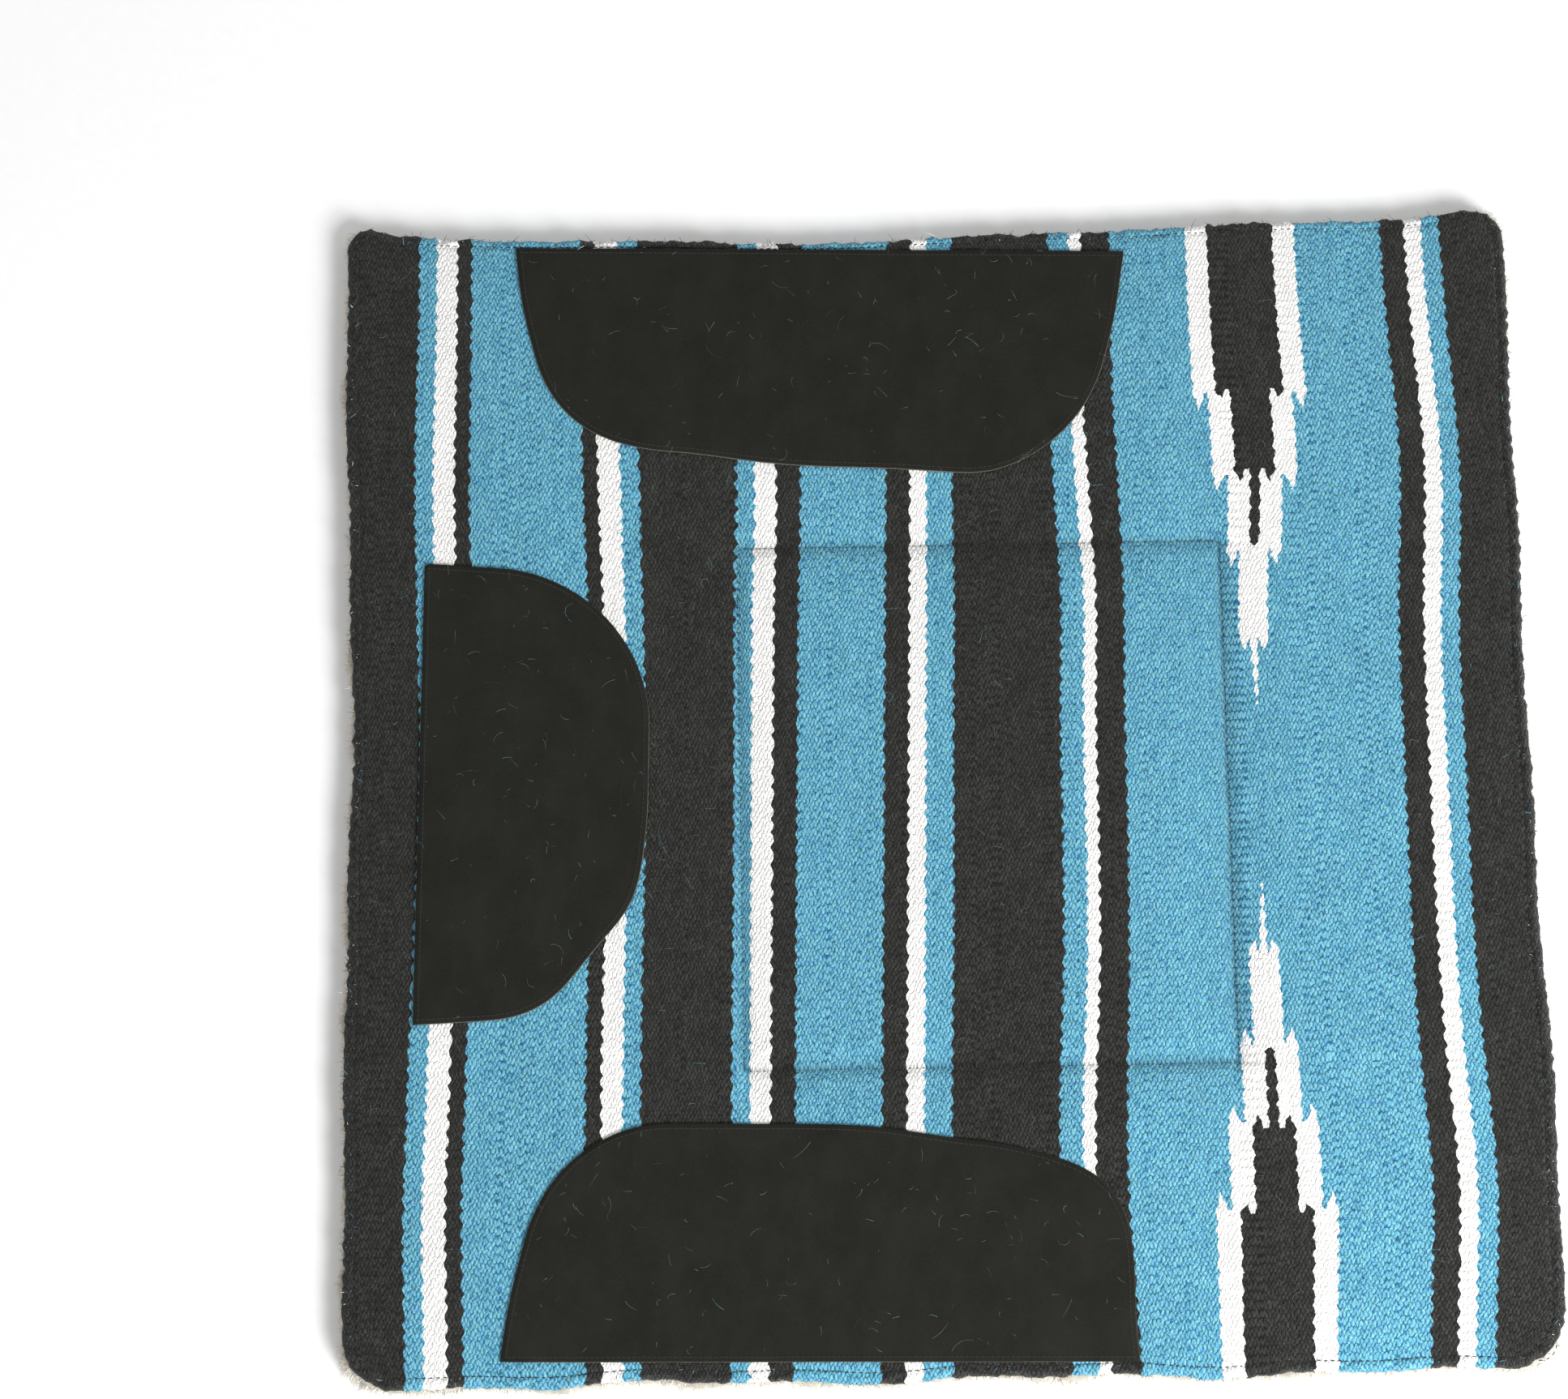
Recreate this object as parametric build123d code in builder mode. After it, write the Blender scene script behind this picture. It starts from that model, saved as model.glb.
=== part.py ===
from build123d import *
import os

# A square western saddle pad: a striped woven top over a felt core and a fleece lining, closed round its
# edges by a turned hem, quilted through in one rectangle, with three suede wear patches sewn on its top.
# Frame: X runs along the horse's spine towards the tail, Y across to the off side, Z up. The origin is the
# middle of the underside. The pad folds along the spine, so each layer is made as a near and an off half.

# Overall sizes, in millimetres
pad_length = 762.0
pad_width = 762.0
corner_radius = 16.0

# Layers, from the horse upwards
fleece_thickness = 8.0
core_thickness = 10.5
cover_thickness = 3.5
suede_thickness = 1.5

# Turned hem of the woven top: a low upright edge, then a short slope up to the field
hem_height = 5.0
hem_slope = 6.0
core_clearance = 0.3

# Gap between the two halves where the pad folds
fold_gap = 0.3

# Lines of thread: each is a low band, drawn in from the edge that it holds
thread_width = 1.0
thread_height = 0.8
hem_thread_inset = 6.5
patch_thread_inset = 3.0

# Quilted rectangle, sewn through all the layers: its four sides keep clear of the patches and the tail edge
quilt_corner = 4.0
quilt_to_wither_patch = 59.0
quilt_to_tail_edge = 194.0
quilt_to_near_patch = 35.5
quilt_to_off_patch = 52.5

# Side patches: a base along the pad's edge, flared sides and two large round corners
side_base = 398.0
side_depth = 150.0
side_flare = 30.0
side_corner = 90.0
off_edge_gap = 18.5
off_x = -69.0
off_skew = -1.4
near_edge_gap = 11.5
near_x = -82.0
near_skew = -0.9

# Wither patch: the same kind of shape, smaller, across the spine at the front edge
wither_base = 304.0
wither_depth = 147.0
wither_flare = 10.0
wither_corner = 105.0
wither_edge_gap = 48.0
wither_skew = -1.4

# Heights that follow from the layers
core_top = fleece_thickness + core_thickness
cover_top = core_top + cover_thickness
suede_top = cover_top + suede_thickness
hem_top = fleece_thickness + hem_height

# Lines where the patches begin and end
wither_x = wither_edge_gap - pad_length / 2
near_y = near_edge_gap - pad_width / 2
off_y = pad_width / 2 - off_edge_gap

# The quilted rectangle between them
quilt_front = wither_x + wither_depth + quilt_to_wither_patch
quilt_back = pad_length / 2 - quilt_to_tail_edge
quilt_near = near_y + side_depth + quilt_to_near_patch
quilt_off = off_y - side_depth - quilt_to_off_patch
quilt_length = quilt_back - quilt_front
quilt_width = quilt_off - quilt_near
quilt_x = (quilt_front + quilt_back) / 2
quilt_y = (quilt_near + quilt_off) / 2

# Each half: its name, the plane that cuts it at the spine, and the side of that plane that it keeps
halves = [
    ("near", Plane.XZ.offset(fold_gap / 2), Keep.TOP),
    ("off", Plane.XZ.offset(-fold_gap / 2), Keep.BOTTOM),
]


def turned_plane(x, y, height, angle):
    """A level plane through a point, turned about the vertical."""
    return Plane((x, y, height), x_dir=Vector(1, 0, 0).rotate(Axis.Z, angle), z_dir=(0, 0, 1))


def pad_outline(height, inset=0.0):
    """The pad's rounded square at a height, drawn in from the edge."""
    with BuildSketch(Plane.XY.offset(height)) as outline:
        corner = max(corner_radius - inset, thread_width)
        RectangleRounded(pad_length - 2 * inset, pad_width - 2 * inset, corner)
    return outline.sketch


def rectangle_band(plane, length, width, corner):
    """The closed band of a thread line that runs round a rectangle."""
    with BuildSketch(plane) as band:
        RectangleRounded(length, width, corner)
        offset(amount=-thread_width, mode=Mode.SUBTRACT)
    return band.sketch


def patch_outline(plane, base, depth, flare, corner, thread_line=False):
    """A patch with its base on local X, reaching to local -Y, or the closed band of its thread line."""
    with BuildSketch(plane) as outline:
        with BuildLine():
            Polyline(
                (-base / 2, 0),
                (base / 2, 0),
                (base / 2 - flare, -depth),
                (flare - base / 2, -depth),
                close=True,
            )
        make_face()
        fillet(outline.vertices().group_by(Axis.Y)[0], corner)
        if thread_line:
            offset(amount=-patch_thread_inset, kind=Kind.INTERSECTION, mode=Mode.REPLACE)
            offset(amount=-thread_width, kind=Kind.INTERSECTION, mode=Mode.SUBTRACT)
    return outline.sketch


os.makedirs("parts", exist_ok=True)

# Layers that cross the spine, one half at a time
for side, spine_cut, kept in halves:

    # Fleece lining, the face that lies on the horse
    with BuildPart() as fleece_lining:
        extrude(pad_outline(0), amount=fleece_thickness)
        split(bisect_by=spine_cut, keep=kept)
    fleece_lining.part.label = f"fleece_lining_{side}"
    export_step(fleece_lining.part, f"parts/fleece_lining_{side}.step")

    # Felt core, a slab with sloping edges that fills the space inside the woven top
    with BuildPart() as felt_core:
        core_inset = cover_thickness + core_clearance
        core_foot = pad_outline(fleece_thickness, core_inset)
        core_edge = pad_outline(hem_top - cover_thickness, core_inset)
        core_face = pad_outline(core_top, core_inset + hem_slope)
        extrude(core_foot, amount=hem_height - cover_thickness)
        loft([core_edge, core_face])
        split(bisect_by=spine_cut, keep=kept)
    felt_core.part.label = f"felt_core_{side}"
    export_step(felt_core.part, f"parts/felt_core_{side}.step")

    # Woven top: a hollow tray, upside down over the core, whose rim stands on the lining
    with BuildPart() as woven_cover:
        extrude(pad_outline(fleece_thickness), amount=hem_height)
        loft([pad_outline(hem_top), pad_outline(cover_top, hem_slope)])
        extrude(
            pad_outline(fleece_thickness, cover_thickness),
            amount=hem_height - cover_thickness,
            mode=Mode.SUBTRACT,
        )
        loft(
            [
                pad_outline(hem_top - cover_thickness, cover_thickness),
                pad_outline(core_top, cover_thickness + hem_slope),
            ],
            mode=Mode.SUBTRACT,
        )
        split(bisect_by=spine_cut, keep=kept)
    woven_cover.part.label = f"woven_cover_{side}"
    export_step(woven_cover.part, f"parts/woven_cover_{side}.step")

    # Suede wither patch
    wither_plane = turned_plane(wither_x, 0, cover_top, 90 + wither_skew)
    wither_shape = (wither_base, wither_depth, wither_flare, wither_corner)
    with BuildPart() as wither_patch:
        extrude(patch_outline(wither_plane, *wither_shape), amount=suede_thickness)
        split(bisect_by=spine_cut, keep=kept)
    wither_patch.part.label = f"wither_patch_{side}"
    export_step(wither_patch.part, f"parts/wither_patch_{side}.step")

    # Thread round the wither patch
    with BuildPart() as wither_thread:
        band_plane = wither_plane.offset(suede_thickness)
        extrude(patch_outline(band_plane, *wither_shape, thread_line=True), amount=thread_height)
        split(bisect_by=spine_cut, keep=kept)
    wither_thread.part.label = f"wither_thread_{side}"
    export_step(wither_thread.part, f"parts/wither_thread_{side}.step")

    # Thread that closes the turned hem all the way round
    with BuildPart() as hem_thread:
        hem_band = rectangle_band(
            Plane.XY.offset(cover_top),
            pad_length - 2 * hem_thread_inset,
            pad_width - 2 * hem_thread_inset,
            corner_radius - hem_thread_inset,
        )
        extrude(hem_band, amount=thread_height)
        split(bisect_by=spine_cut, keep=kept)
    hem_thread.part.label = f"hem_thread_{side}"
    export_step(hem_thread.part, f"parts/hem_thread_{side}.step")

    # Thread of the quilted rectangle
    with BuildPart() as quilting_thread:
        quilt_plane = Plane((quilt_x, quilt_y, cover_top))
        extrude(
            rectangle_band(quilt_plane, quilt_length, quilt_width, quilt_corner),
            amount=thread_height,
        )
        split(bisect_by=spine_cut, keep=kept)
    quilting_thread.part.label = f"quilting_thread_{side}"
    export_step(quilting_thread.part, f"parts/quilting_thread_{side}.step")

# Side patches, one on each half, each with its own line of thread
side_patches = [
    ("near", turned_plane(near_x, near_y, cover_top, 180 + near_skew)),
    ("off", turned_plane(off_x, off_y, cover_top, off_skew)),
]
side_shape = (side_base, side_depth, side_flare, side_corner)

for side, patch_plane in side_patches:

    # Suede side patch, where the stirrup leathers and the girth rub
    with BuildPart() as side_patch:
        extrude(patch_outline(patch_plane, *side_shape), amount=suede_thickness)
    side_patch.part.label = f"side_patch_{side}"
    export_step(side_patch.part, f"parts/side_patch_{side}.step")

    # Thread round the side patch
    with BuildPart() as side_thread:
        band_plane = patch_plane.offset(suede_thickness)
        extrude(patch_outline(band_plane, *side_shape, thread_line=True), amount=thread_height)
    side_thread.part.label = f"side_thread_{side}"
    export_step(side_thread.part, f"parts/side_thread_{side}.step")
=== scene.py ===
# %% [markdown]
# # A western saddle pad, made in Blender around its CAD frame
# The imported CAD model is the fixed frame: it holds the sizes, the two halves of the pad and the fold
# between them. This file dresses it. Each soft CAD solid is replaced by a detailed mesh that stands in the
# same place. Everything is in metres, +X runs towards the horse's tail, +Y to its off side and +Z up.

# %% Load the frame
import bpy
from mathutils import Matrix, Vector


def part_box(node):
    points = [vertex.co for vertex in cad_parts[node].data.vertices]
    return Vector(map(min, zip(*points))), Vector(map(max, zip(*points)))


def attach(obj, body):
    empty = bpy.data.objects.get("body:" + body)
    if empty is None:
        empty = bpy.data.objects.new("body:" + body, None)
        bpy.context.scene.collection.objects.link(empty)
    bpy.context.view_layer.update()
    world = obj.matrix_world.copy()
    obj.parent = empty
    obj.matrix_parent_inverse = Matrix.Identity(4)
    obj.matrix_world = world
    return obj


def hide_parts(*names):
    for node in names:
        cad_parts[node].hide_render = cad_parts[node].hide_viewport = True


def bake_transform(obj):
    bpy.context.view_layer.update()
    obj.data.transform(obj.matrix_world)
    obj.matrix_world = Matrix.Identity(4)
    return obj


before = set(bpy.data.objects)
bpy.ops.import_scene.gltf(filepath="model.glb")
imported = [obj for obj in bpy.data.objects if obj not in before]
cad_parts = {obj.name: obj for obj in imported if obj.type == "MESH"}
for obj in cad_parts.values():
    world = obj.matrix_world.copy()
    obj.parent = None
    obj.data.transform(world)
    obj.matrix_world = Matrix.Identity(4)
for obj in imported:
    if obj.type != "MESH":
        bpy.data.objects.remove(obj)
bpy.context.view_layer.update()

# %% [markdown]
# ## Tools of the workbench
# Every random number comes from a generator with a fixed seed.

# %% Tools of the workbench
import math

import bmesh
import bpy
import numpy as np
from mathutils import Matrix, Vector, geometry
from mathutils.bvhtree import BVHTree

MM = 0.001
rng = np.random.default_rng(30)
scene = bpy.context.scene
print("Blender", bpy.app.version_string)

# %% [markdown]
# ## Sizes that come from the frame
# A layer that the fold crosses is two CAD nodes, one on each half, so its size is the box round both.
# Reading these from the frame, and not typing them again, keeps the cloth on the design when a size
# changes.

# %% Boxes of the layers
def layer_box(layer):
    boxes = [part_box(f"{layer}_{side}") for side in ("near", "off")]
    low = [min(b[0][k] for b in boxes) for k in range(3)]
    high = [max(b[1][k] for b in boxes) for k in range(3)]
    return Vector(low), Vector(high)


cover_low, cover_high = layer_box("woven_cover")
fleece_low, fleece_high = layer_box("fleece_lining")
core_low, core_high = layer_box("felt_core")
quilt_low, quilt_high = layer_box("quilting_thread")
half_x, half_y = cover_high.x, cover_high.y
print("pad half size", round(half_x, 4), round(half_y, 4), "top", round(cover_high.z, 4))

# %% [markdown]
# ## The camera
# A long lens looks almost straight down at the pad, from a little towards the near side, so the square
# shows a slight taper. The camera is made first, so that every later look at the work uses the same view.

# %% Camera
camera_data = bpy.data.cameras.new("camera")
camera_data.lens = 120
camera_data.sensor_width = 36
camera_data.clip_end = 50
camera = bpy.data.objects.new("camera", camera_data)
camera.location = (-0.0913, -0.7666, 3.286)
camera.rotation_euler = [math.radians(a) for a in (14.16, 0.35, -0.93)]
scene.collection.objects.link(camera)
scene.camera = camera
print("camera distance", round(camera.location.length, 3))

# %% [markdown]
# ## How the pad lies
# A used pad is never a ruled square. The off edge sags inwards along the middle, the other edges wander by
# a few millimetres, and each corner is rounded by its own amount. One function holds that outline, and the
# woven top, the felt and the fleece all use it, so the layers stay in register. A second one holds how the
# stripes sway.

# %% Outline of the lying pad
CORNER_RADII = {(-1, 1): 7 * MM, (1, 1): 12 * MM, (1, -1): 30 * MM, (-1, -1): 20 * MM}
EDGE_REACH = 90 * MM


def bell(t, centre, width):
    return np.exp(-(((t - centre) / width) ** 2))


def edge_drift(x, y):
    """How far the lying pad moves from the ruled square, in metres, as (along X, along Y)."""
    off_edge = -11.5 * MM * bell(x, -0.07, 0.25) + 1.0 * MM * np.sin(x * 31 + 0.6)
    off_edge += 7 * MM * bell(x, -0.385, 0.03) + 6 * MM * bell(x, 0.385, 0.05) - 2 * MM * bell(x, 0.27, 0.06)
    near_edge = 1.6 * MM * np.sin(x * 27) + 1.2 * MM * np.sin(x * 61 + 1)
    front_edge = 5 * MM * bell(y, 0.05, 0.13) + 0.8 * MM * np.sin(y * 43)
    back_edge = 5 * MM * bell(y, -0.25, 0.15) + 1.0 * MM * np.sin(y * 37 + 2)

    def near_to(distance):
        return np.clip(1 - distance / EDGE_REACH, 0, 1) ** 2

    dy = off_edge * near_to(half_y - y) + near_edge * near_to(half_y + y)
    dx = front_edge * near_to(half_x + x) + back_edge * near_to(half_x - x)
    return dx, dy


LEANS = [  # where a group of stripes lies, its even lean per metre, and its bulges as (amount, centre, width)
    (-0.330, 0.012, [(3.6, 0.000, 0.11), (-2.4, -0.270, 0.06), (-1.5, 0.200, 0.06)]),
    (-0.215, 0.000, [(6.5, 0.025, 0.16)]),
    (-0.110, 0.022, [(1.3, 0.185, 0.04)]),
    (-0.016, 0.027, []),
    (0.095, 0.000, [(3.0, 0.120, 0.055), (-8.5, -0.250, 0.11), (-2.0, 0.260, 0.05)]),
    (0.207, 0.000, [(4.0, 0.215, 0.07), (-2.3, -0.110, 0.07), (-1.3, 0.110, 0.04), (-2.5, -0.360, 0.05)]),
    (0.315, 0.000, [(1.2, 0.000, 1.0), (6.0, 0.215, 0.08), (5.8, -0.265, 0.075)]),
]


def sway(x, y):
    """How far the stripes lean from straight lines, in metres."""
    leans = []
    for _, slope, bulges in LEANS:
        bulge = sum(amount * MM * bell(y, centre, width) for amount, centre, width in bulges)
        leans.append(slope * y + bulge)
    lean = leans[0]
    for i in range(1, len(LEANS)):
        start, end = LEANS[i - 1][0], LEANS[i][0]
        lean = lean + (leans[i] - lean) * np.clip((x - start) / (end - start), 0, 1)
    return lean


print("off edge sag", round(float(edge_drift(-0.06, half_y)[1]) / MM, 1), "mm")

# %% [markdown]
# ## A rounded square of cloth
# bmesh's grid is a ruled square. Each corner of it is turned into a quarter circle by the square-to-disc
# map, which keeps the four-sided faces, so the cloth simulation and the subdivision both stay even. The rim
# is then extruded ring by ring along a curved profile. A vertex attribute remembers where each point lay in
# the flat cloth, because the stripes are woven in the flat and have to follow the cloth round the edge.

# %% Grid, corners and rim
def round_corner(x, y, size_x, size_y):
    sx, sy = (1 if x >= 0 else -1), (1 if y >= 0 else -1)
    radius = CORNER_RADII[(sx, sy)]
    a = (abs(x) - (size_x - radius)) / radius
    b = (abs(y) - (size_y - radius)) / radius
    if a <= 0 or b <= 0:
        return x, y
    a, b = min(a, 1), min(b, 1)
    new_a, new_b = a * math.sqrt(1 - b * b / 2), b * math.sqrt(1 - a * a / 2)
    return sx * (size_x - radius + new_a * radius), sy * (size_y - radius + new_b * radius)


def flat_sheet(bm, cells, size_x, size_y, height, snap_x=(), snap_y=()):
    """A rounded sheet in a new bmesh. Grid lines nearest the snap places move onto them."""
    flat = bm.verts.layers.float_vector.new("flat")
    bmesh.ops.create_grid(bm, x_segments=cells, y_segments=cells, size=1)
    step = 2 / cells
    moved_x = {round((p / size_x + 1) / step): p for p in snap_x}
    moved_y = {round((p / size_y + 1) / step): p for p in snap_y}
    for v in bm.verts:
        x = moved_x.get(round((v.co.x + 1) / step), v.co.x * size_x)
        y = moved_y.get(round((v.co.y + 1) / step), v.co.y * size_y)
        v[flat] = (x, y, 0)
        x, y = round_corner(x, y, size_x, size_y)
        v.co = (x, y, height)
    return flat


def rim_ring(bm):
    """The boundary vertices in order, with the outward direction at each."""
    edge = next(e for e in bm.edges if e.is_boundary)
    start, ring, previous = edge.verts[0], [edge.verts[0]], None
    here = edge.verts[1]
    while here is not start:
        previous = ring[-1]
        ring.append(here)
        here = next(
            e.other_vert(here)
            for e in here.link_edges
            if e.is_boundary and e.other_vert(here) is not previous
        )
    outward = []
    for i, v in enumerate(ring):
        along = ring[(i + 1) % len(ring)].co - ring[i - 1].co
        normal = Vector((along.y, -along.x, 0)).normalized()
        outward.append(normal if normal.dot(v.co) > 0 else -normal)
    return ring, outward


def roll_rim(bm, flat, profile):
    """Extrudes the boundary along a profile of (outward, height, length of cloth so far)."""
    first_ring, outward = rim_ring(bm)
    ring = first_ring
    base = [v.co.copy() for v in ring]
    flat_base = [Vector(v[flat]) for v in ring]
    for out, height, length in profile:
        edges = [bm.edges.get((ring[i - 1], ring[i])) for i in range(len(ring))]
        made = bmesh.ops.extrude_edge_only(bm, edges=edges)
        fresh = {g for g in made["geom"] if isinstance(g, bmesh.types.BMVert)}
        partner = {}
        for v in fresh:
            old = next(e.other_vert(v) for e in v.link_edges if e.other_vert(v) not in fresh)
            partner[old] = v
        ring = [partner[v] for v in ring]
        for v, b, f, n in zip(ring, base, flat_base, outward):
            v.co = (b.x + n.x * out, b.y + n.y * out, height)
            v[flat] = (f.x + n.x * length, f.y + n.y * length, 0)
    return first_ring, ring


def close_back(bm, flat, front, cells, size_x, size_y, rings, step):
    """Closes the open back of a rolled sheet with a coarser grid, so that it bends in rows along the fold."""
    twins = dict(zip(*rings))
    height = rings[1][0].co.z

    def cell_of(v):
        return tuple(round((v[flat][k] / size + 1) * cells / 2) for k, size in enumerate((size_x, size_y)))

    at = {cell_of(v): v for v in front}

    def behind(place):
        v = at[place]
        if v not in twins:
            twins[v] = bm.verts.new((v.co.x, v.co.y, height))
            twins[v][flat] = v[flat]
        return twins[v]

    def side(a, b):
        """Places from a up to b: every one where the side lies on the rim, else only a."""
        on_rim = any(a[k] == b[k] and a[k] in (0, cells) for k in (0, 1))
        count = step if on_rim else 1
        return [tuple(a[k] + (b[k] - a[k]) * n // count for k in (0, 1)) for n in range(count)]

    for j in range(0, cells, step):
        for i in range(0, cells, step):
            corners = [(i, j), (i + step, j), (i + step, j + step), (i, j + step)]
            loop = [p for a, b in zip(corners, corners[1:] + corners[:1]) for p in side(a, b)]
            bm.faces.new([behind(p) for p in reversed(loop)])


def new_piece(bm, name):
    """Turns a bmesh into an object whose faces point outwards."""
    bmesh.ops.recalc_face_normals(bm, faces=bm.faces)
    mesh = bpy.data.meshes.new(name)
    bm.to_mesh(mesh)
    bm.free()
    piece = bpy.data.objects.new(name, mesh)
    scene.collection.objects.link(piece)
    for polygon in mesh.polygons:
        polygon.use_smooth = True
    return piece


def read_points(mesh):
    points = np.empty(len(mesh.vertices) * 3, np.float32)
    mesh.vertices.foreach_get("co", points)
    return points.reshape(-1, 3).astype(float)


def write_points(mesh, points):
    mesh.vertices.foreach_set("co", points.astype(np.float32).ravel())
    mesh.update()


def apply_modifiers(piece):
    """Keeps the shape that the modifiers give, and removes them."""
    graph = bpy.context.evaluated_depsgraph_get()
    shaped = bpy.data.meshes.new_from_object(piece.evaluated_get(graph))
    old = piece.data
    piece.modifiers.clear()
    piece.data = shaped
    shaped.name = piece.name
    bpy.data.meshes.remove(old)
    return shaped


print("helpers ready")

# %% [markdown]
# ## The woven top
# On the real pad the top is a thick weft-faced blanket. It could be sculpted, but a quilted cloth gets its
# shape from being held down along its seams while the padding pushes up between them. So the hem and the
# four quilting lines are pinned and a cloth simulation with gentle pressure does the rest. The grid lines
# nearest the quilting are moved onto it first, so the seams come out straight and sharp.

# %% Flat cloth with a rolled hem
CELLS = 144
HEM_RUN = 9 * MM
SEWN_HEIGHT = cover_high.z - 2.6 * MM
ROLL_CENTRE = (4.0 * MM, cover_low.z + 5.8 * MM)
ROLL_RADII = (5.0 * MM, 5.2 * MM)
ROLL_STEPS = 13


def hem_profile():
    """Rings of the hem: a small valley at the stitching, then a roll that turns under to the lining."""
    rings = [(1.0 * MM, SEWN_HEIGHT - 0.5 * MM)]
    for step in range(ROLL_STEPS):
        angle = math.radians(118 - step * (193 / (ROLL_STEPS - 1)))
        out = ROLL_CENTRE[0] + ROLL_RADII[0] * math.cos(angle)
        rings.append((out, ROLL_CENTRE[1] + ROLL_RADII[1] * math.sin(angle)))
    length, last, profile = 0, (0, SEWN_HEIGHT), []
    for out, height in rings:
        length += math.hypot(out - last[0], height - last[1])
        last = (out, height)
        profile.append((out, height, length))
    return profile


quilt_x = ((quilt_low.x + quilt_high.x) / 2, (quilt_high.x - quilt_low.x) / 2 - 0.5 * MM)
quilt_y = ((quilt_low.y + quilt_high.y) / 2, (quilt_high.y - quilt_low.y) / 2 - 0.5 * MM)
QUILT_LINES_X = (quilt_x[0] - quilt_x[1], quilt_x[0] + quilt_x[1])
QUILT_LINES_Y = (quilt_y[0] - quilt_y[1], quilt_y[0] + quilt_y[1])

bm = bmesh.new()
flat = flat_sheet(
    bm, CELLS, half_x - HEM_RUN, half_y - HEM_RUN, SEWN_HEIGHT, QUILT_LINES_X, QUILT_LINES_Y
)
field_count = len(bm.verts)
roll_rim(bm, flat, hem_profile())
woven_top = new_piece(bm, "woven_top")
print("woven top before sewing:", len(woven_top.data.vertices), "points")

# %% [markdown]
# ## Letting the cloth puff up
# The pins hold the seams. Pressure without gravity swells the panels between them. A blanket this stiff
# only rises a little, so the rise is then limited softly, which leaves broad flat panels with a dip along
# each seam.

# %% Cloth simulation
PUFF = 2.9 * MM


def on_quilting(x, y, reach):
    """True on the four sewn lines of the quilted rectangle."""
    in_x = (x > QUILT_LINES_X[0] - reach) & (x < QUILT_LINES_X[1] + reach)
    in_y = (y > QUILT_LINES_Y[0] - reach) & (y < QUILT_LINES_Y[1] + reach)
    near_x = np.minimum(np.abs(x - QUILT_LINES_X[0]), np.abs(x - QUILT_LINES_X[1])) < reach
    near_y = np.minimum(np.abs(y - QUILT_LINES_Y[0]), np.abs(y - QUILT_LINES_Y[1])) < reach
    return (near_x & in_y) | (near_y & in_x)


def puffed(piece):
    """Runs the cloth and returns how far each point rose."""
    before = read_points(piece.data)
    sewn = on_quilting(before[:, 0], before[:, 1], 1.0 * MM)
    sewn[field_count:] = True
    border = np.maximum(np.abs(before[:, 0]) / (half_x - HEM_RUN), np.abs(before[:, 1]) / (half_y - HEM_RUN))
    sewn |= border > 0.999
    pins = piece.vertex_groups.new(name="sewn")
    pins.add([int(i) for i in np.flatnonzero(sewn)], 1.0, "REPLACE")
    cloth = piece.modifiers.new("Cloth", "CLOTH")
    cloth.settings.quality = 4
    cloth.settings.mass = 0.25
    cloth.settings.tension_stiffness = 20
    cloth.settings.compression_stiffness = 20
    cloth.settings.shear_stiffness = 8
    cloth.settings.bending_stiffness = 4
    cloth.settings.use_pressure = True
    cloth.settings.uniform_pressure_force = 3
    cloth.settings.vertex_group_mass = pins.name
    cloth.settings.effector_weights.gravity = 0
    cloth.collision_settings.use_collision = False
    for number in range(1, 21):
        scene.frame_set(number)
    shaped = piece.evaluated_get(bpy.context.evaluated_depsgraph_get())
    after = read_points(shaped.to_mesh())
    shaped.to_mesh_clear()
    piece.modifiers.clear()
    piece.vertex_groups.clear()
    scene.frame_set(1)
    return after[:, 2] - before[:, 2]


flat_points = read_points(woven_top.data)
rise = puffed(woven_top)
print("cloth rose by", round(rise.min() / MM, 2), "to", round(rise.max() / MM, 2), "mm")

# %% [markdown]
# ## Seams, dents and yarn lumps
# The simulated cloth is smooth. One level of subdivision gives it points every few millimetres, and then
# small moves add what a hand sees: a narrow valley under each line of thread, the deeper crease on the tail
# side, a slow unevenness of the filling, and the lumps of the yarn loops where the blanket turns round its
# edge.

# %% Fine shape of the woven top
LOBE = 10.6 * MM


def waves(x, y, size, amount, seed, count=14):
    """Soft unevenness: a sum of slow waves in seeded directions, about size across."""
    draw = np.random.default_rng(seed)
    total = np.zeros_like(x)
    for _ in range(count):
        angle, phase = draw.uniform(0, 2 * math.pi, 2)
        pitch = 2 * math.pi / (size * draw.uniform(0.7, 1.6))
        total += np.sin((x * math.cos(angle) + y * math.sin(angle)) * pitch + phase)
    return total * amount / math.sqrt(count)


def one_sided(distance, steep, slow):
    """1 on a seam, falling off within steep on its negative side and within slow on its positive side."""
    return np.where(distance < 0, np.exp(-np.abs(distance / steep) ** 1.5), np.exp(-np.abs(distance / slow)))


def seam_valley(x, y):
    """How deep the cloth is drawn in by the quilting thread, in metres."""
    reach = 3 * MM
    in_x = np.clip((x - QUILT_LINES_X[0]) / reach + 1, 0, 1)
    in_x = in_x * np.clip((QUILT_LINES_X[1] - x) / reach + 1, 0, 1)
    in_y = np.clip((y - QUILT_LINES_Y[0]) / reach + 1, 0, 1)
    in_y = in_y * np.clip((QUILT_LINES_Y[1] - y) / reach + 1, 0, 1)
    far_side = one_sided(QUILT_LINES_Y[1] - y, 4.5 * MM, 9.0 * MM)
    near_side = one_sided(QUILT_LINES_Y[0] - y, 8.0 * MM, 10.0 * MM)
    front = one_sided(x - QUILT_LINES_X[0], 4.0 * MM, 6.0 * MM) * in_y * 2.4 * MM
    back = one_sided(x - QUILT_LINES_X[1], 3.2 * MM, 10.0 * MM) * in_y * 4.4 * MM
    across = (far_side + near_side) * in_x * 2.9 * MM
    return np.maximum(np.maximum(across, front), back)


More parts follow.
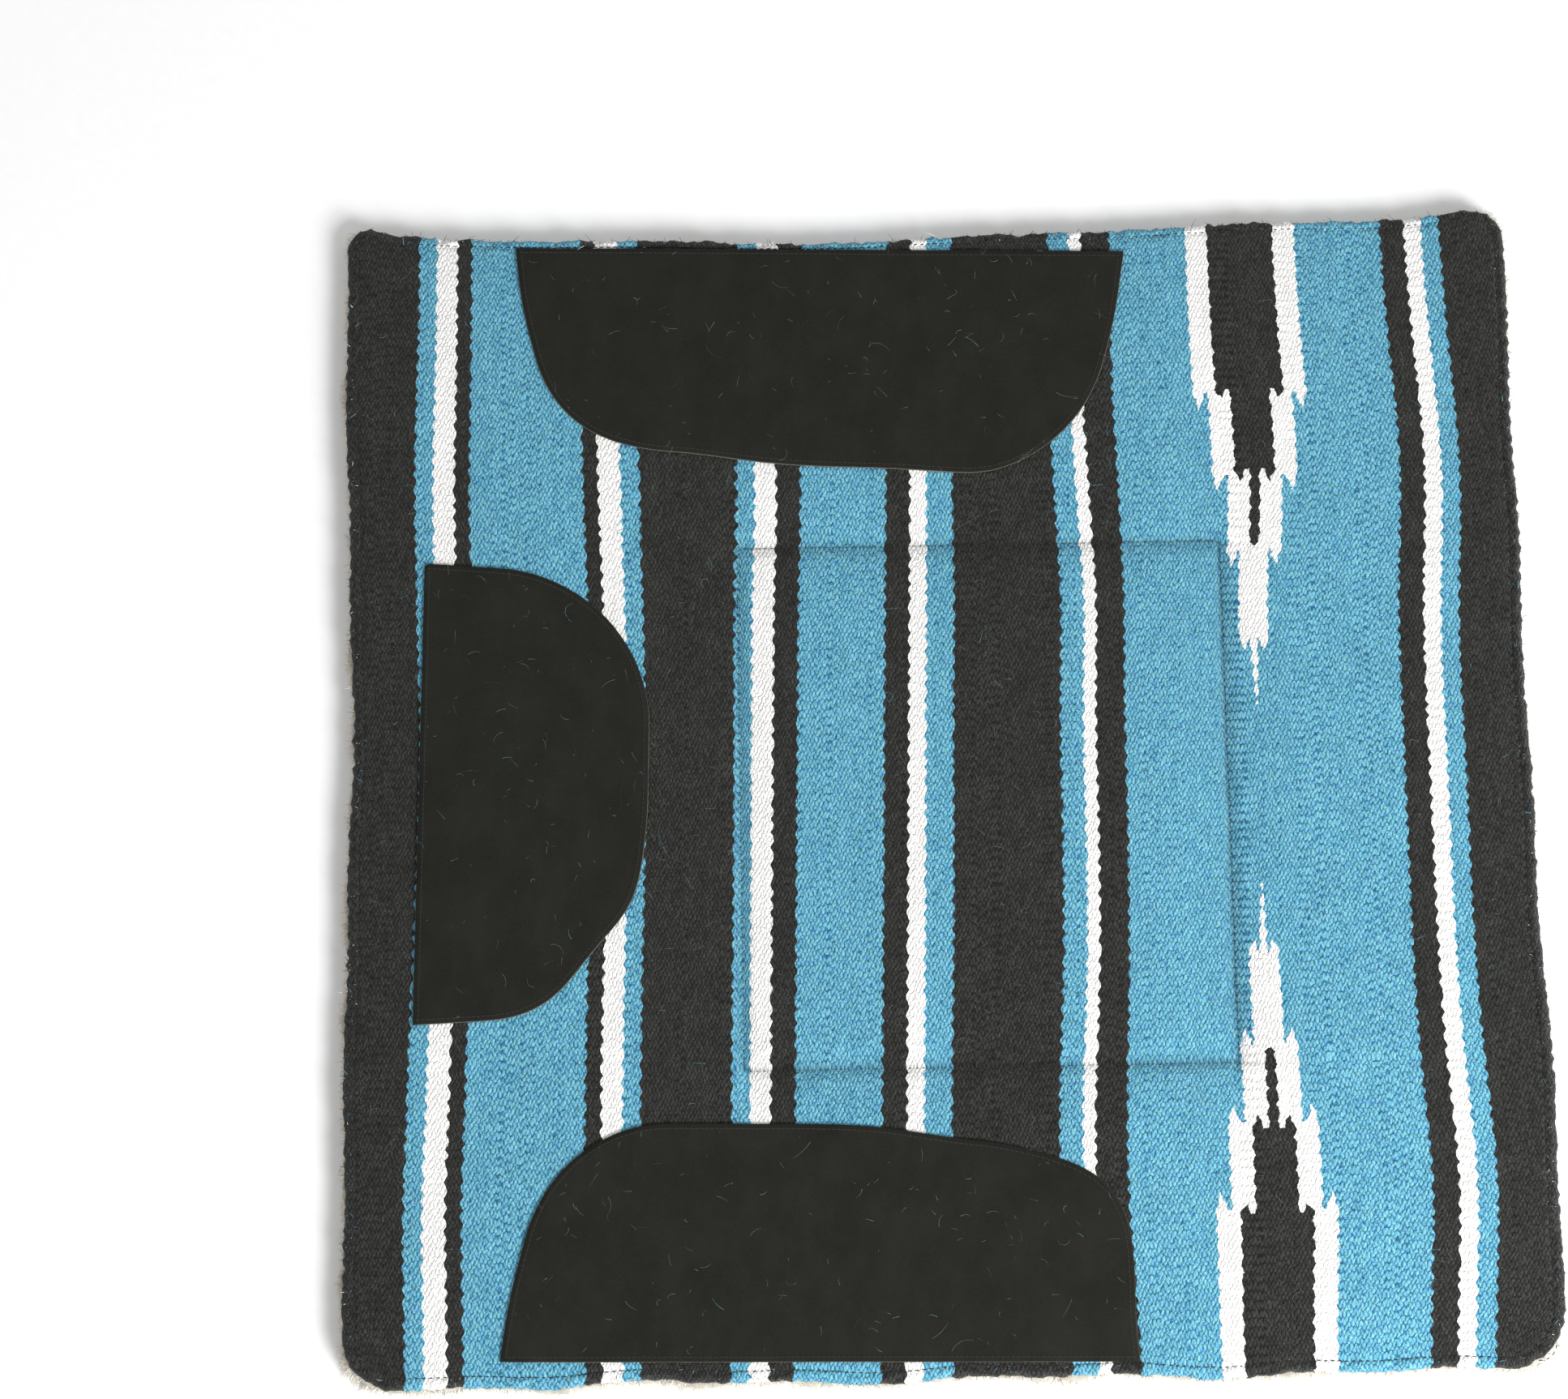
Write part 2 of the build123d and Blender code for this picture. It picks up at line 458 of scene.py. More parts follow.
points = flat_points.copy()
points[:, 2] += PUFF * np.tanh(rise / PUFF)
write_points(woven_top.data, points)
smooth = woven_top.modifiers.new("Smooth cloth", "SUBSURF")
smooth.levels = smooth.render_levels = 1
mesh = apply_modifiers(woven_top)

cloth_flat = np.empty(len(mesh.vertices) * 3, np.float32)
mesh.attributes["flat"].data.foreach_get("vector", cloth_flat)
cloth_flat = cloth_flat.reshape(-1, 3).astype(float)
points = read_points(mesh)
x, y = points[:, 0].copy(), points[:, 1].copy()
past_x = np.abs(cloth_flat[:, 0]) - (half_x - HEM_RUN)
past_y = np.abs(cloth_flat[:, 1]) - (half_y - HEM_RUN)
on_hem = np.clip(np.maximum(past_x, past_y) / (4 * MM), 0, 1)
points[:, 2] -= seam_valley(x, y)
points[:, 2] += (waves(x, y, 0.11, 0.45 * MM, 3) + waves(x, y, 0.012, 0.16 * MM, 4)) * (1 - on_hem)

normals = np.empty(len(mesh.vertices) * 3, np.float32)
mesh.vertices.foreach_get("normal", normals)
normals = normals.reshape(-1, 3)
along_edge = np.where(past_x > past_y, cloth_flat[:, 1], cloth_flat[:, 0])
lobes = np.abs(np.sin(math.pi * along_edge / LOBE)) - 0.6
lumps = lobes * 0.8 * MM + waves(x, y, 0.008, 0.55 * MM, 5) + waves(x, y, 0.022, 0.4 * MM, 6)
points += normals * (lumps * on_hem)[:, None]
drift_x, drift_y = edge_drift(x, y)
points[:, 0] += drift_x
points[:, 1] += drift_y
write_points(mesh, points)
print("woven top:", len(mesh.polygons), "faces, highest", round(points[:, 2].max() / MM, 1), "mm")

# %% [markdown]
# ## Laying out the stripes
# The pattern is woven into the cloth, so it belongs in the cloth's own coordinates. The UV map is made from
# the flat attribute, with the sway taken off, and one unit of it is the whole pad. The material only ever
# reads this map, which means that the stripes follow the hem round and stay put when the pad folds.

# %% UV map of the cloth
def lay_uv(mesh, u, v):
    """Gives each corner of the mesh the UV of its vertex."""
    corners = np.empty(len(mesh.loops), np.int64)
    mesh.loops.foreach_get("vertex_index", corners)
    layer = mesh.uv_layers.get("cloth") or mesh.uv_layers.new(name="cloth")
    layer.data.foreach_set("uv", np.stack([u[corners], v[corners]], 1).astype(np.float32).ravel())


SEAM_REACH = 20.0


def seam_nearness(x, y):
    """Distance to the nearest seam in millimetres, shorter for the deeper seams, for the shader's painted
    crease shade.
    """
    in_x = (x > QUILT_LINES_X[0] - 1 * MM) & (x < QUILT_LINES_X[1] + 1 * MM)
    in_y = (y > QUILT_LINES_Y[0] - 1 * MM) & (y < QUILT_LINES_Y[1] + 1 * MM)
    across = np.minimum(np.abs(y - QUILT_LINES_Y[0]), np.abs(y - QUILT_LINES_Y[1])) / MM + 0.3
    front = np.abs(x - QUILT_LINES_X[0]) / MM + 0.4
    back = np.abs(x - QUILT_LINES_X[1]) / MM
    far = np.full_like(x, SEAM_REACH)
    nearest = np.minimum(np.where(in_y, np.minimum(front, back), far), np.where(in_x, across, far))
    return np.minimum(nearest, SEAM_REACH)


seam = mesh.attributes.new("seam", "FLOAT", "POINT")
seam.data.foreach_set("value", seam_nearness(x, y).astype(np.float32))
lean = sway(cloth_flat[:, 0], cloth_flat[:, 1])
lay_uv(mesh, (cloth_flat[:, 0] - lean) / (2 * half_x) + 0.5, cloth_flat[:, 1] / (2 * half_y) + 0.5)
surface = BVHTree.FromObject(woven_top, bpy.context.evaluated_depsgraph_get())


def top_at(x, y):
    """Height of the woven top under a point."""
    hit = surface.ray_cast(Vector((x, y, 0.2)), Vector((0, 0, -1)))[0]
    return hit.z if hit else SEWN_HEIGHT


cloth_u = (cloth_flat[:, 0] - lean) / (2 * half_x) + 0.5
cloth_v = cloth_flat[:, 1] / (2 * half_y) + 0.5
rim_points, rim_normals = read_points(mesh), np.empty(len(mesh.vertices) * 3, np.float32)
mesh.vertices.foreach_get("normal", rim_normals)
rim_normals = rim_normals.reshape(-1, 3).astype(float)
hem_points = np.flatnonzero(on_hem > 0.3)
wall = woven_top.modifiers.new("Blanket thickness", "SOLIDIFY")
wall.thickness = 2.4 * MM
wall.offset = -1
apply_modifiers(woven_top)
print("blanket walls:", len(woven_top.data.polygons), "faces")

# %% [markdown]
# ## A small language for shader nodes
# Materials here are long formulas. A helper that adds one node at a time and hands back its output socket
# lets them be written as formulas too. An effect that several finishes share becomes a node group with
# named sockets.

# %% Node helpers
class Wiring:
    """Adds nodes to one tree and joins them up."""

    def __init__(self, tree):
        self.tree = tree

    def feed(self, socket, value):
        if isinstance(value, bpy.types.NodeSocket):
            self.tree.links.new(value, socket)
        elif value is not None:
            socket.default_value = value

    def node(self, kind, inputs=(), **settings):
        made = self.tree.nodes.new(kind)
        for key, value in settings.items():
            setattr(made, key, value)
        for key, value in dict(inputs).items():
            self.feed(made.inputs[key], value)
        return made

    def math(self, operation, a, b=None, c=None, clamp=False):
        made = self.node("ShaderNodeMath", operation=operation, use_clamp=clamp)
        for socket, value in zip(made.inputs, (a, b, c)):
            self.feed(socket, value)
        return made.outputs[0]

    def add(self, a, b):
        return self.math("ADD", a, b)

    def take(self, a, b):
        return self.math("SUBTRACT", a, b)

    def times(self, a, b, clamp=False):
        return self.math("MULTIPLY", a, b, clamp=clamp)

    def range(self, value, low, high, to_low=0.0, to_high=1.0, smooth=True):
        kind = "SMOOTHSTEP" if smooth else "LINEAR"
        inputs = {"Value": value, "From Min": low, "From Max": high, "To Min": to_low, "To Max": to_high}
        return self.node("ShaderNodeMapRange", inputs, interpolation_type=kind).outputs[0]

    def mix(self, share, a, b, blend="MIX"):
        made = self.node("ShaderNodeMix", data_type="RGBA", blend_type=blend)
        self.feed(made.inputs[0], share)
        self.feed(made.inputs[6], a)
        self.feed(made.inputs[7], b)
        return made.outputs[2]

    def noise(self, vector, scale, detail=2.0, roughness=0.5):
        inputs = {"Vector": vector, "Scale": scale, "Detail": detail, "Roughness": roughness}
        return self.node("ShaderNodeTexNoise", inputs).outputs[0]

    def random(self, vector):
        return self.node("ShaderNodeTexWhiteNoise", {"Vector": vector}, noise_dimensions="3D").outputs[0]

    def split(self, vector):
        return self.node("ShaderNodeSeparateXYZ", {"Vector": vector}).outputs

    def join(self, x, y, z=0.0):
        return self.node("ShaderNodeCombineXYZ", {"X": x, "Y": y, "Z": z}).outputs[0]

    def stretch(self, vector, scale):
        inputs = {"Vector": vector, "Scale": scale}
        return self.node("ShaderNodeMapping", inputs, vector_type="TEXTURE").outputs[0]

    def group(self, tree, **inputs):
        made = self.node("ShaderNodeGroup", node_tree=tree)
        for key, value in inputs.items():
            self.feed(made.inputs[key.replace("_", " ")], value)
        return made.outputs


def start_group(name, inputs, outputs):
    """A node group with named float, vector or colour sockets; returns (tree, wiring, inputs, outputs)."""
    kinds = {"value": "NodeSocketFloat", "vector": "NodeSocketVector", "colour": "NodeSocketColor"}
    tree = bpy.data.node_groups.new(name, "ShaderNodeTree")
    for socket, kind in inputs.items():
        tree.interface.new_socket(name=socket, in_out="INPUT", socket_type=kinds[kind])
    for socket, kind in outputs.items():
        tree.interface.new_socket(name=socket, in_out="OUTPUT", socket_type=kinds[kind])
    w = Wiring(tree)
    return tree, w, w.node("NodeGroupInput").outputs, w.node("NodeGroupOutput").inputs


def start_material(name):
    """A material with one Principled shader; returns (material, wiring, shader)."""
    material = bpy.data.materials.new(name)
    material.use_nodes = True
    material.node_tree.nodes.clear()
    w = Wiring(material.node_tree)
    shader = w.node("ShaderNodeBsdfPrincipled")
    output = w.node("ShaderNodeOutputMaterial")
    material.node_tree.links.new(shader.outputs[0], output.inputs[0])
    return material, w, shader


def rgb(red, green, blue):
    """A colour picked as 0 to 255 on a screen, in the linear values that shaders use."""
    shares = [c / 255 for c in (red, green, blue)]
    return tuple(s / 12.92 if s < 11 / 255 else ((s + 0.055) / 1.055) ** 2.4 for s in shares) + (1,)


print("node helpers ready")

# %% [markdown]
# ## Yarn
# In a weft-faced blanket only the thick weft shows. Each pick of it climbs over one warp and dives under
# the next, and its neighbours do the same half a step later. The first group draws one pick: a wave along
# the yarn less a rounded fall to both sides. The second compares three neighbouring picks and keeps the
# highest, so the pills come out lens-shaped, with a slit where an end dives between its neighbours; the
# wool material paints that slit dark as shade.

# %% Node group: one pick of weft
PICK_WIDE = 1.3
PICK_LONG = 5.6
PICK_RISE = 0.55

weft_pick, w, given, wanted = start_group(
    "weft pick",
    {"Across": "value", "Along": "value", "Step": "value"},
    {"Height": "value", "Own Number": "value"},
)
column = w.add(w.math("FLOOR", given["Across"]), given["Step"])
aside = w.take(w.take(given["Across"], column), 0.5)
odd = w.math("MODULO", w.math("ABSOLUTE", column), 2.0)
slant = w.times(w.take(w.times(odd, 2.0), 1.0), w.times(aside, 0.10))
late = w.add(w.times(odd, 0.5), w.times(w.random(w.join(column, 3.7)), 0.28))
turn = w.add(w.add(given["Along"], late), slant)
own = w.random(w.join(column, w.math("ROUND", turn)))
wave = w.times(w.math("COSINE", w.times(turn, 2 * math.pi)), PICK_RISE)
height = w.take(wave, w.times(w.times(aside, aside), w.add(0.85, w.times(own, 0.3))))
w.feed(wanted["Height"], height)
w.feed(wanted["Own Number"], own)
print("weft pick:", len(weft_pick.nodes), "nodes")

# %% [markdown]
# ## From one pick to a woven surface
# The second group places the first one three times and keeps the highest answer. What lies low between two
# picks is given as a gap, where the wool material paints shade.

# %% Node group: woven yarn
woven_yarn, w, given, wanted = start_group(
    "woven yarn", {"Place": "vector"}, {"Height": "value", "Own Number": "value", "Gap": "value"}
)
place = w.split(given["Place"])
wander = w.take(w.noise(given["Place"], 0.11, 2.0), 0.5)
jostle = w.take(w.noise(given["Place"], 0.33, 2.0), 0.5)
across = w.math("DIVIDE", w.add(place[0], w.times(wander, 3.0)), PICK_WIDE)
along = w.add(w.math("DIVIDE", place[1], PICK_LONG), w.times(jostle, 1.1))
picks = [w.group(weft_pick, Across=across, Along=along, Step=float(step)) for step in (-1, 0, 1)]
height, own = picks[0][0], picks[0][1]
for pick in picks[1:]:
    over = w.math("GREATER_THAN", pick[0], height)
    own = w.add(own, w.times(over, w.take(pick[1], own)))
    height = w.math("MAXIMUM", height, pick[0])
w.feed(wanted["Height"], w.range(height, -0.45, PICK_RISE, smooth=False))
w.feed(wanted["Own Number"], own)
w.feed(wanted["Gap"], w.range(height, -0.12, -0.42))
print("woven yarn:", len(woven_yarn.nodes), "nodes")

# %% [markdown]
# ## Stripes
# A colour ramp with constant steps holds the whole stripe plan, as black 0, turquoise a half and white 1.
# Every border is scalloped, because the weft turns back in lobes there, and the lighter yarn always bulges
# over the darker. Reading the ramp twice, a lobe to the left and a lobe to the right, and keeping the
# lighter answer gives exactly that. Each stop stands back by half a lobe, so the plan holds the widths that
# are seen.

# %% Node group: stripe plan
STRIPES = [  # colour and width in millimetres, from the front edge to the tail edge
    ("black", 42), ("turquoise", 12), ("white", 13), ("black", 11.5), ("turquoise", 73),
    ("black", 10.2), ("white", 13.5), ("turquoise", 13.2), ("black", 60), ("turquoise", 12),
    ("white", 12.5), ("black", 15.5), ("turquoise", 56), ("black", 15), ("white", 13.5),
    ("turquoise", 15.5), ("black", 71), ("turquoise", 13.3), ("white", 9.7), ("black", 16.8),
    ("turquoise", 180), ("black", 15), ("white", 11.2), ("turquoise", 12), ("black", 44.6),
]
LIGHTNESS = {"black": 0.0, "turquoise": 0.5, "white": 1.0}
PLAN_WIDTH = sum(width for _, width in STRIPES)
LOBE_REACH = 1.9


def stripe_ramp(w, factor):
    made = w.node("ShaderNodeValToRGB", {"Fac": factor})
    ramp = made.color_ramp
    ramp.interpolation = "CONSTANT"
    border, before = 0, 0
    for number, (colour, width) in enumerate(STRIPES):
        light = LIGHTNESS[colour]
        held_back = LOBE_REACH * (0.5 if light > before else -0.5) if number else 0
        position = (border + held_back) / PLAN_WIDTH
        stop = ramp.elements[number] if number < 2 else ramp.elements.new(position)
        stop.position = position
        stop.color = (light,) * 3 + (1,)
        border, before = border + width, light
    return made.outputs[0]


stripe_plan, w, given, wanted = start_group("stripe plan", {"Place": "vector"}, {"Lightness": "value"})
place = w.split(given["Place"])
ragged = w.times(w.take(w.noise(given["Place"], 0.45, 3.0, 0.6), 0.5), 1.1)
middle = w.add(w.math("DIVIDE", w.add(place[0], ragged), PLAN_WIDTH), 0.5)
reads = []
for direction, late, seed in ((1.0, 0.0, 2.0), (-1.0, 0.4, 9.0)):
    shifted = w.node("ShaderNodeVectorMath", {0: given["Place"], 1: (seed, 0, seed)}).outputs[0]
    drawn = w.stretch(shifted, (2, 1, 1))
    uneven = w.times(w.take(w.noise(drawn, 0.045, 2.0), 0.5), 1.6)
    turn = w.add(w.math("DIVIDE", place[1], LOBE / MM), w.add(uneven, late))
    lobe = w.add(w.times(w.math("COSINE", w.times(turn, 2 * math.pi)), 0.5), 0.5)
    reach = w.math("DIVIDE", w.times(w.math("POWER", lobe, 0.8), direction * LOBE_REACH), PLAN_WIDTH)
    reads.append(stripe_ramp(w, w.add(middle, reach)))
w.feed(wanted["Lightness"], w.math("MAXIMUM", *reads))
print("stripe plan adds up to", PLAN_WIDTH, "mm")

# %% [markdown]
# ## The stepped feather
# The motif in the widest stripe is woven in steps: each section is narrower than the one outside it, and
# where a section ends, its outer corners run on as pointed barbs. A small group draws one section. The
# motif is four white sections and three black ones laid over them, mirrored about the middle of the pad.

# %% Node group: feather
feather_section, w, given, wanted = start_group(
    "feather section",
    {"Across": "value", "Along": "value", "Half Width": "value", "Start": "value", "Barb": "value"},
    {"Mask": "value"},
)
from_edge = w.math("ABSOLUTE", w.take(w.take(given["Half Width"], given["Across"]), 3.2))
tooth = w.math("MAXIMUM", w.take(1.0, w.math("DIVIDE", from_edge, 3.6)), 0.0)
edge = w.take(given["Start"], w.times(tooth, given["Barb"]))
inside = w.math("LESS_THAN", given["Across"], given["Half Width"])
w.feed(wanted["Mask"], w.times(inside, w.math("GREATER_THAN", given["Along"], edge)))

FEATHER_CENTRE = (207.0, -10.0)
WHITE_SECTIONS = [(35.6, 269, 12), (26.5, 213, 11), (17, 163, 11), (9.2, 104, 9)]
BLACK_SECTIONS = [(21.4, 271, 6), (12.6, 217, 9), (3.1, 168, 3)]

feather, w, given, wanted = start_group("feather", {"Place": "vector"}, {"White": "value", "Black": "value"})
place = w.split(given["Place"])
fray = w.times(w.take(w.noise(given["Place"], 0.4, 2.0), 0.5), 2.6)
swell = w.times(w.math("ABSOLUTE", w.math("SINE", w.times(place[1], math.pi / (LOBE / MM)))), -1.5)
across = w.math("ABSOLUTE", w.take(w.add(place[0], fray), FEATHER_CENTRE[0]))
across = w.add(w.add(across, swell), 0.9)
along = w.math("ABSOLUTE", w.take(w.add(place[1], w.times(fray, 0.8)), FEATHER_CENTRE[1]))


def all_sections(sections):
    mask = None
    for half_width, start, barb in sections:
        one = w.group(
            feather_section, Across=across, Along=along, Half_Width=half_width, Start=start, Barb=barb
        )
        mask = one[0] if mask is None else w.math("MAXIMUM", mask, one[0])
    return mask


thin = w.math("LESS_THAN", across, w.range(along, 59, 100, 0.4, 2.1))
line = w.times(thin, w.math("GREATER_THAN", along, 59.0))
w.feed(wanted["White"], w.math("MAXIMUM", all_sections(WHITE_SECTIONS), line))
w.feed(wanted["Black"], all_sections(BLACK_SECTIONS))
print("feather sections:", len(WHITE_SECTIONS) + len(BLACK_SECTIONS))

# %% [markdown]
# ## Blanket wool
# The dyed yarns are heathered: each is spun from several blues and greens, with a rare yellow fleck. Noise
# that is drawn out along the yarn mixes them, and each pill gets its own tone. On top of that the pill tops
# get a painted highlight and the gaps between pills painted shade, both from the same heights that drive the
# bump.

# %% Place in millimetres
def cloth_place(w):
    """The cloth UV map as millimetres from the middle of the pad."""
    uv = w.node("ShaderNodeUVMap", uv_map="cloth").outputs[0]
    centred = w.node("ShaderNodeVectorMath", {0: uv, 1: (0.5, 0.5, 0)}, operation="SUBTRACT").outputs[0]
    return w.node("ShaderNodeVectorMath", {0: centred, 1: (PLAN_WIDTH,) * 3}, operation="MULTIPLY").outputs[0]


def matt(shader, sheen, sheen_roughness, level):
    """Constant settings of a dry fibrous finish."""
    shader.inputs["Specular IOR Level"].default_value = level
    shader.inputs["Sheen Weight"].default_value = sheen
    shader.inputs["Sheen Roughness"].default_value = sheen_roughness


def bumped(w, shader, height, distance, strength=0.8):
    bump = w.node("ShaderNodeBump", {"Strength": strength, "Distance": distance, "Height": height})
    w.feed(shader.inputs["Normal"], bump.outputs[0])


print("place and finish helpers ready")

# %% [markdown]
# ## The wool itself
# Turquoise, white and black are mixed first, each from the same streaks, the same painted highlight on the
# pill tops and the same painted shade in the gaps between pills. The stripe plan and the feather then choose
# among the three, and painted shade darkens the wool in and beside each seam's crease.

# %% Material: woven wool
def woven_wool():
    material, w, shader = start_material("woven_wool")
    place = cloth_place(w)
    yarn = w.group(woven_yarn, Place=place)
    height, own = yarn["Height"], yarn["Own Number"]
    lightness = w.group(stripe_plan, Place=place)["Lightness"]
    motif = w.group(feather, Place=place)
    streaks = w.noise(w.stretch(place, (0.45, 1.5, 1)), 1.0, 3.0, 0.7)
    # Painted shade in the slits between pills, where the weave lies low, made uneven by a slow noise.
    painted_slit_shade = w.times(yarn["Gap"], w.range(w.noise(place, 0.3, 1.0), 0.35, 0.6, 0.35, 1.0))
    # The pill height lightens the yarn as a painted highlight on each pill's top, together with its own tone
    # and the heathered streaks.
    blend = w.add(w.add(w.times(own, 0.22), w.times(streaks, 0.62)), w.times(height, 0.22))

    turquoise = w.mix(w.range(blend, 0.3, 0.62), rgb(52, 124, 160), rgb(112, 184, 204))
    turquoise = w.mix(w.range(blend, 0.62, 0.9), turquoise, rgb(160, 214, 226))
    tint = w.noise(w.stretch(place, (1.0, 3.0, 1)), 1.0, 2.0, 0.6)
    turquoise = w.mix(w.range(tint, 0.54, 0.66, 0.0, 0.7), turquoise, rgb(78, 142, 220))
    turquoise = w.mix(w.range(tint, 0.45, 0.33, 0.0, 0.65), turquoise, rgb(96, 176, 170))
    fleck = w.noise(w.stretch(place, (0.9, 2.0, 1)), 0.9, 1.0)
    turquoise = w.mix(w.range(fleck, 0.72, 0.75, 0.0, 0.7), turquoise, rgb(168, 204, 92))
    turquoise = w.mix(w.times(painted_slit_shade, 0.9), turquoise, rgb(24, 80, 118))
    white = w.mix(w.range(blend, 0.2, 0.65), rgb(242, 240, 236), rgb(255, 255, 254))
    white = w.mix(w.times(painted_slit_shade, 0.55), white, rgb(196, 188, 176))
    black = w.mix(w.range(blend, 0.3, 0.85), rgb(14, 14, 12), rgb(54, 55, 52))
    fuzz = w.noise(w.stretch(place, (0.6, 2.0, 1)), 1.2, 4.0, 0.8)
    worn = w.times(w.range(fuzz, 0.48, 0.72), w.range(w.noise(place, 0.045, 3.0, 0.7), 0.42, 0.68, 0.35, 0.9))
    black = w.mix(w.times(worn, 0.75), black, rgb(112, 113, 110))
    black = w.mix(w.times(painted_slit_shade, 0.65), black, rgb(8, 8, 7))

    is_white = w.math("GREATER_THAN", lightness, 0.75)
    is_black = w.math("LESS_THAN", lightness, 0.25)
    colour = w.mix(is_black, w.mix(is_white, turquoise, white), black)
    colour = w.mix(motif["White"], colour, white)
    colour = w.mix(motif["Black"], colour, black)
    # Painted shade along the seams: the wool is darkened in each crease and for about a centimetre beside it,
    # as the valley would lie in shadow.
    seam = w.node("ShaderNodeAttribute", attribute_name="seam").outputs["Fac"]
    painted_crease_shade = w.times(w.range(seam, 0.0, 2.4, 0.62, 1.0), w.range(seam, 0.0, 11.0, 0.78, 1.0))
    shade = w.times(w.range(w.noise(place, 0.035, 2.0), 0.3, 0.7, 0.95, 1.02), painted_crease_shade)
    colour = w.mix(1.0, colour, w.join(shade, shade, shade), blend="MULTIPLY")

    relief = w.add(height, w.times(streaks, 0.35))
    bumped(w, shader, relief, 0.9 * MM, strength=0.9)
    w.feed(shader.inputs["Base Color"], colour)
    w.feed(shader.inputs["Roughness"], w.range(height, 0.0, 1.0, 0.98, 0.84))
    matt(shader, sheen=0.14, sheen_roughness=0.5, level=0.2)
    return material


wool = woven_wool()
woven_top.data.materials.clear()
woven_top.data.materials.append(wool)
print("woven wool:", len(wool.node_tree.nodes), "nodes")

# %% [markdown]
# ## The felt core
# Inside the pad a slab of pressed felt carries the load. It can't be seen, but it is there in the CAD model
# and it is there on the bench, so it gets the same care: one sheet with a rounded rim, whose top is pressed
# down wherever the quilting pulls the blanket in.

# %% Felt core
CORE_CELLS = 160
CORE_RIM = 3 * MM
UNDER_BLANKET = 3.3 * MM


def rounded_rim(reach, low, high, steps):
    """A profile for roll_rim: half an oval from the upper level out and down to the lower one."""
    middle, tall = (low + high) / 2, (high - low) / 2
    profile, length, last = [], 0, (0, high)
    for step in range(1, steps + 1):
        angle = math.pi * (0.5 - step / steps)
        point = (reach * math.cos(angle), middle + tall * math.sin(angle))
        length += math.hypot(point[0] - last[0], point[1] - last[1])
        last = point
        profile.append((*point, length))
    return profile


def read_flat(mesh):
    values = np.empty(len(mesh.vertices) * 3, np.float32)
    mesh.attributes["flat"].data.foreach_get("vector", values)
    return values.reshape(-1, 3).astype(float)


def drift(points):
    """Moves points sideways with the outline of the lying pad."""
    drift_x, drift_y = edge_drift(points[:, 0].copy(), points[:, 1].copy())
    points[:, 0] += drift_x
    points[:, 1] += drift_y


bm = bmesh.new()
core_x, core_y = core_high.x - CORE_RIM, core_high.y - CORE_RIM
flat = flat_sheet(bm, CORE_CELLS, core_x, core_y, core_high.z)
front = list(bm.verts)
rings = roll_rim(bm, flat, rounded_rim(CORE_RIM, core_low.z, core_high.z, 7))
close_back(bm, flat, front, CORE_CELLS, core_x, core_y, rings, 1)
felt_core = new_piece(bm, "felt_core")
points = read_points(felt_core.data)
drift(points)
for point in points:
    if point[2] > core_high.z - 0.5 * MM:
        point[2] = min(core_high.z, top_at(point[0], point[1]) - UNDER_BLANKET)
write_points(felt_core.data, points)
core_flat = read_flat(felt_core.data)
lay_uv(felt_core.data, core_flat[:, 0] / (2 * half_x) + 0.5, core_flat[:, 1] / (2 * half_y) + 0.5)
print("felt core:", len(felt_core.data.polygons), "faces")

# %% [markdown]
# ## The fleece lining
# The lining is a deep wool pile: soft locks a finger's width across, each with smaller curls on it. Hair
# particles would have to be turned into millions of faces, so the pile is a fine sheet that two Displace
# modifiers push out, first into locks and then into curls. Its side swells out past the blanket in places.
# Its back is smooth cloth, made as a grid and not as one large face, because one large face can't bend at
# the fold.

# %% Fleece lining
FLEECE_CELLS = 300
PILE_FLOOR = fleece_low.z + 3.4 * MM
PILE_TOP = fleece_high.z + 0.9 * MM
FLEECE_IN = 8 * MM
LOCK_SIZE = 13 * MM
CURL_SIZE = 4.2 * MM


def fleece_profile():
    """From the underside out, up the swelling side and back in under the blanket."""
    rings = [(2.4, 3.5), (4.4, 3.9), (6.2, 4.6), (7.4, 5.6), (7.8, 6.8), (7.4, 8.0), (5.6, 8.8), (0.0, 7.9)]
    profile, length, last = [], 0, (0, PILE_FLOOR)
    for out, height in rings:
        point = (out * MM, fleece_low.z + height * MM)
        length += math.hypot(point[0] - last[0], point[1] - last[1])
        last = point
        profile.append((*point, length))
    return profile


def push_out(piece, name, kind, size, strength, middle):
    """One Displace modifier with a procedural pattern of its own."""
    pattern = bpy.data.textures.new(name, kind)
    pattern.noise_scale = size
    if kind == "VORONOI":
        pattern.noise_intensity = 1.0
        pattern.distance_metric = "DISTANCE_SQUARED"
    lift = piece.modifiers.new(name, "DISPLACE")
    lift.texture = pattern
    lift.texture_coords = "LOCAL"
    lift.strength = strength
    lift.mid_level = middle
    return pattern


def peeping(x, y):
    """How far the pile swells past the blanket, in metres, as (along X, along Y)."""
    lump = np.clip(waves(x, y, 0.05, 1.6 * MM, 11), -0.4 * MM, 2.6 * MM)
    front = np.clip((-x - half_x + 0.03) / 0.03, 0, 1) * (lump + 1.1 * MM)
    near = np.clip((-y - half_y + 0.03) / 0.03, 0, 1) * (lump + 0.4 * MM)
    return -front, -near


bm = bmesh.new()
fleece_x, fleece_y = half_x - FLEECE_IN, half_y - FLEECE_IN
flat = flat_sheet(bm, FLEECE_CELLS, fleece_x, fleece_y, PILE_FLOOR)
front = list(bm.verts)
rings = roll_rim(bm, flat, fleece_profile())
back_start = len(bm.verts) - len(rings[1])
close_back(bm, flat, front, FLEECE_CELLS, fleece_x, fleece_y, rings, 4)
fleece = new_piece(bm, "fleece_lining")
smooth_points = read_points(fleece.data)
push_out(fleece, "locks", "VORONOI", LOCK_SIZE, -3.0 * MM, 0.32)
push_out(fleece, "curls", "CLOUDS", CURL_SIZE, 2.2 * MM, 0.5)
mesh = apply_modifiers(fleece)
points = read_points(mesh)
points[back_start:] = smooth_points[back_start:]  # the back is the smooth backing cloth and has no pile
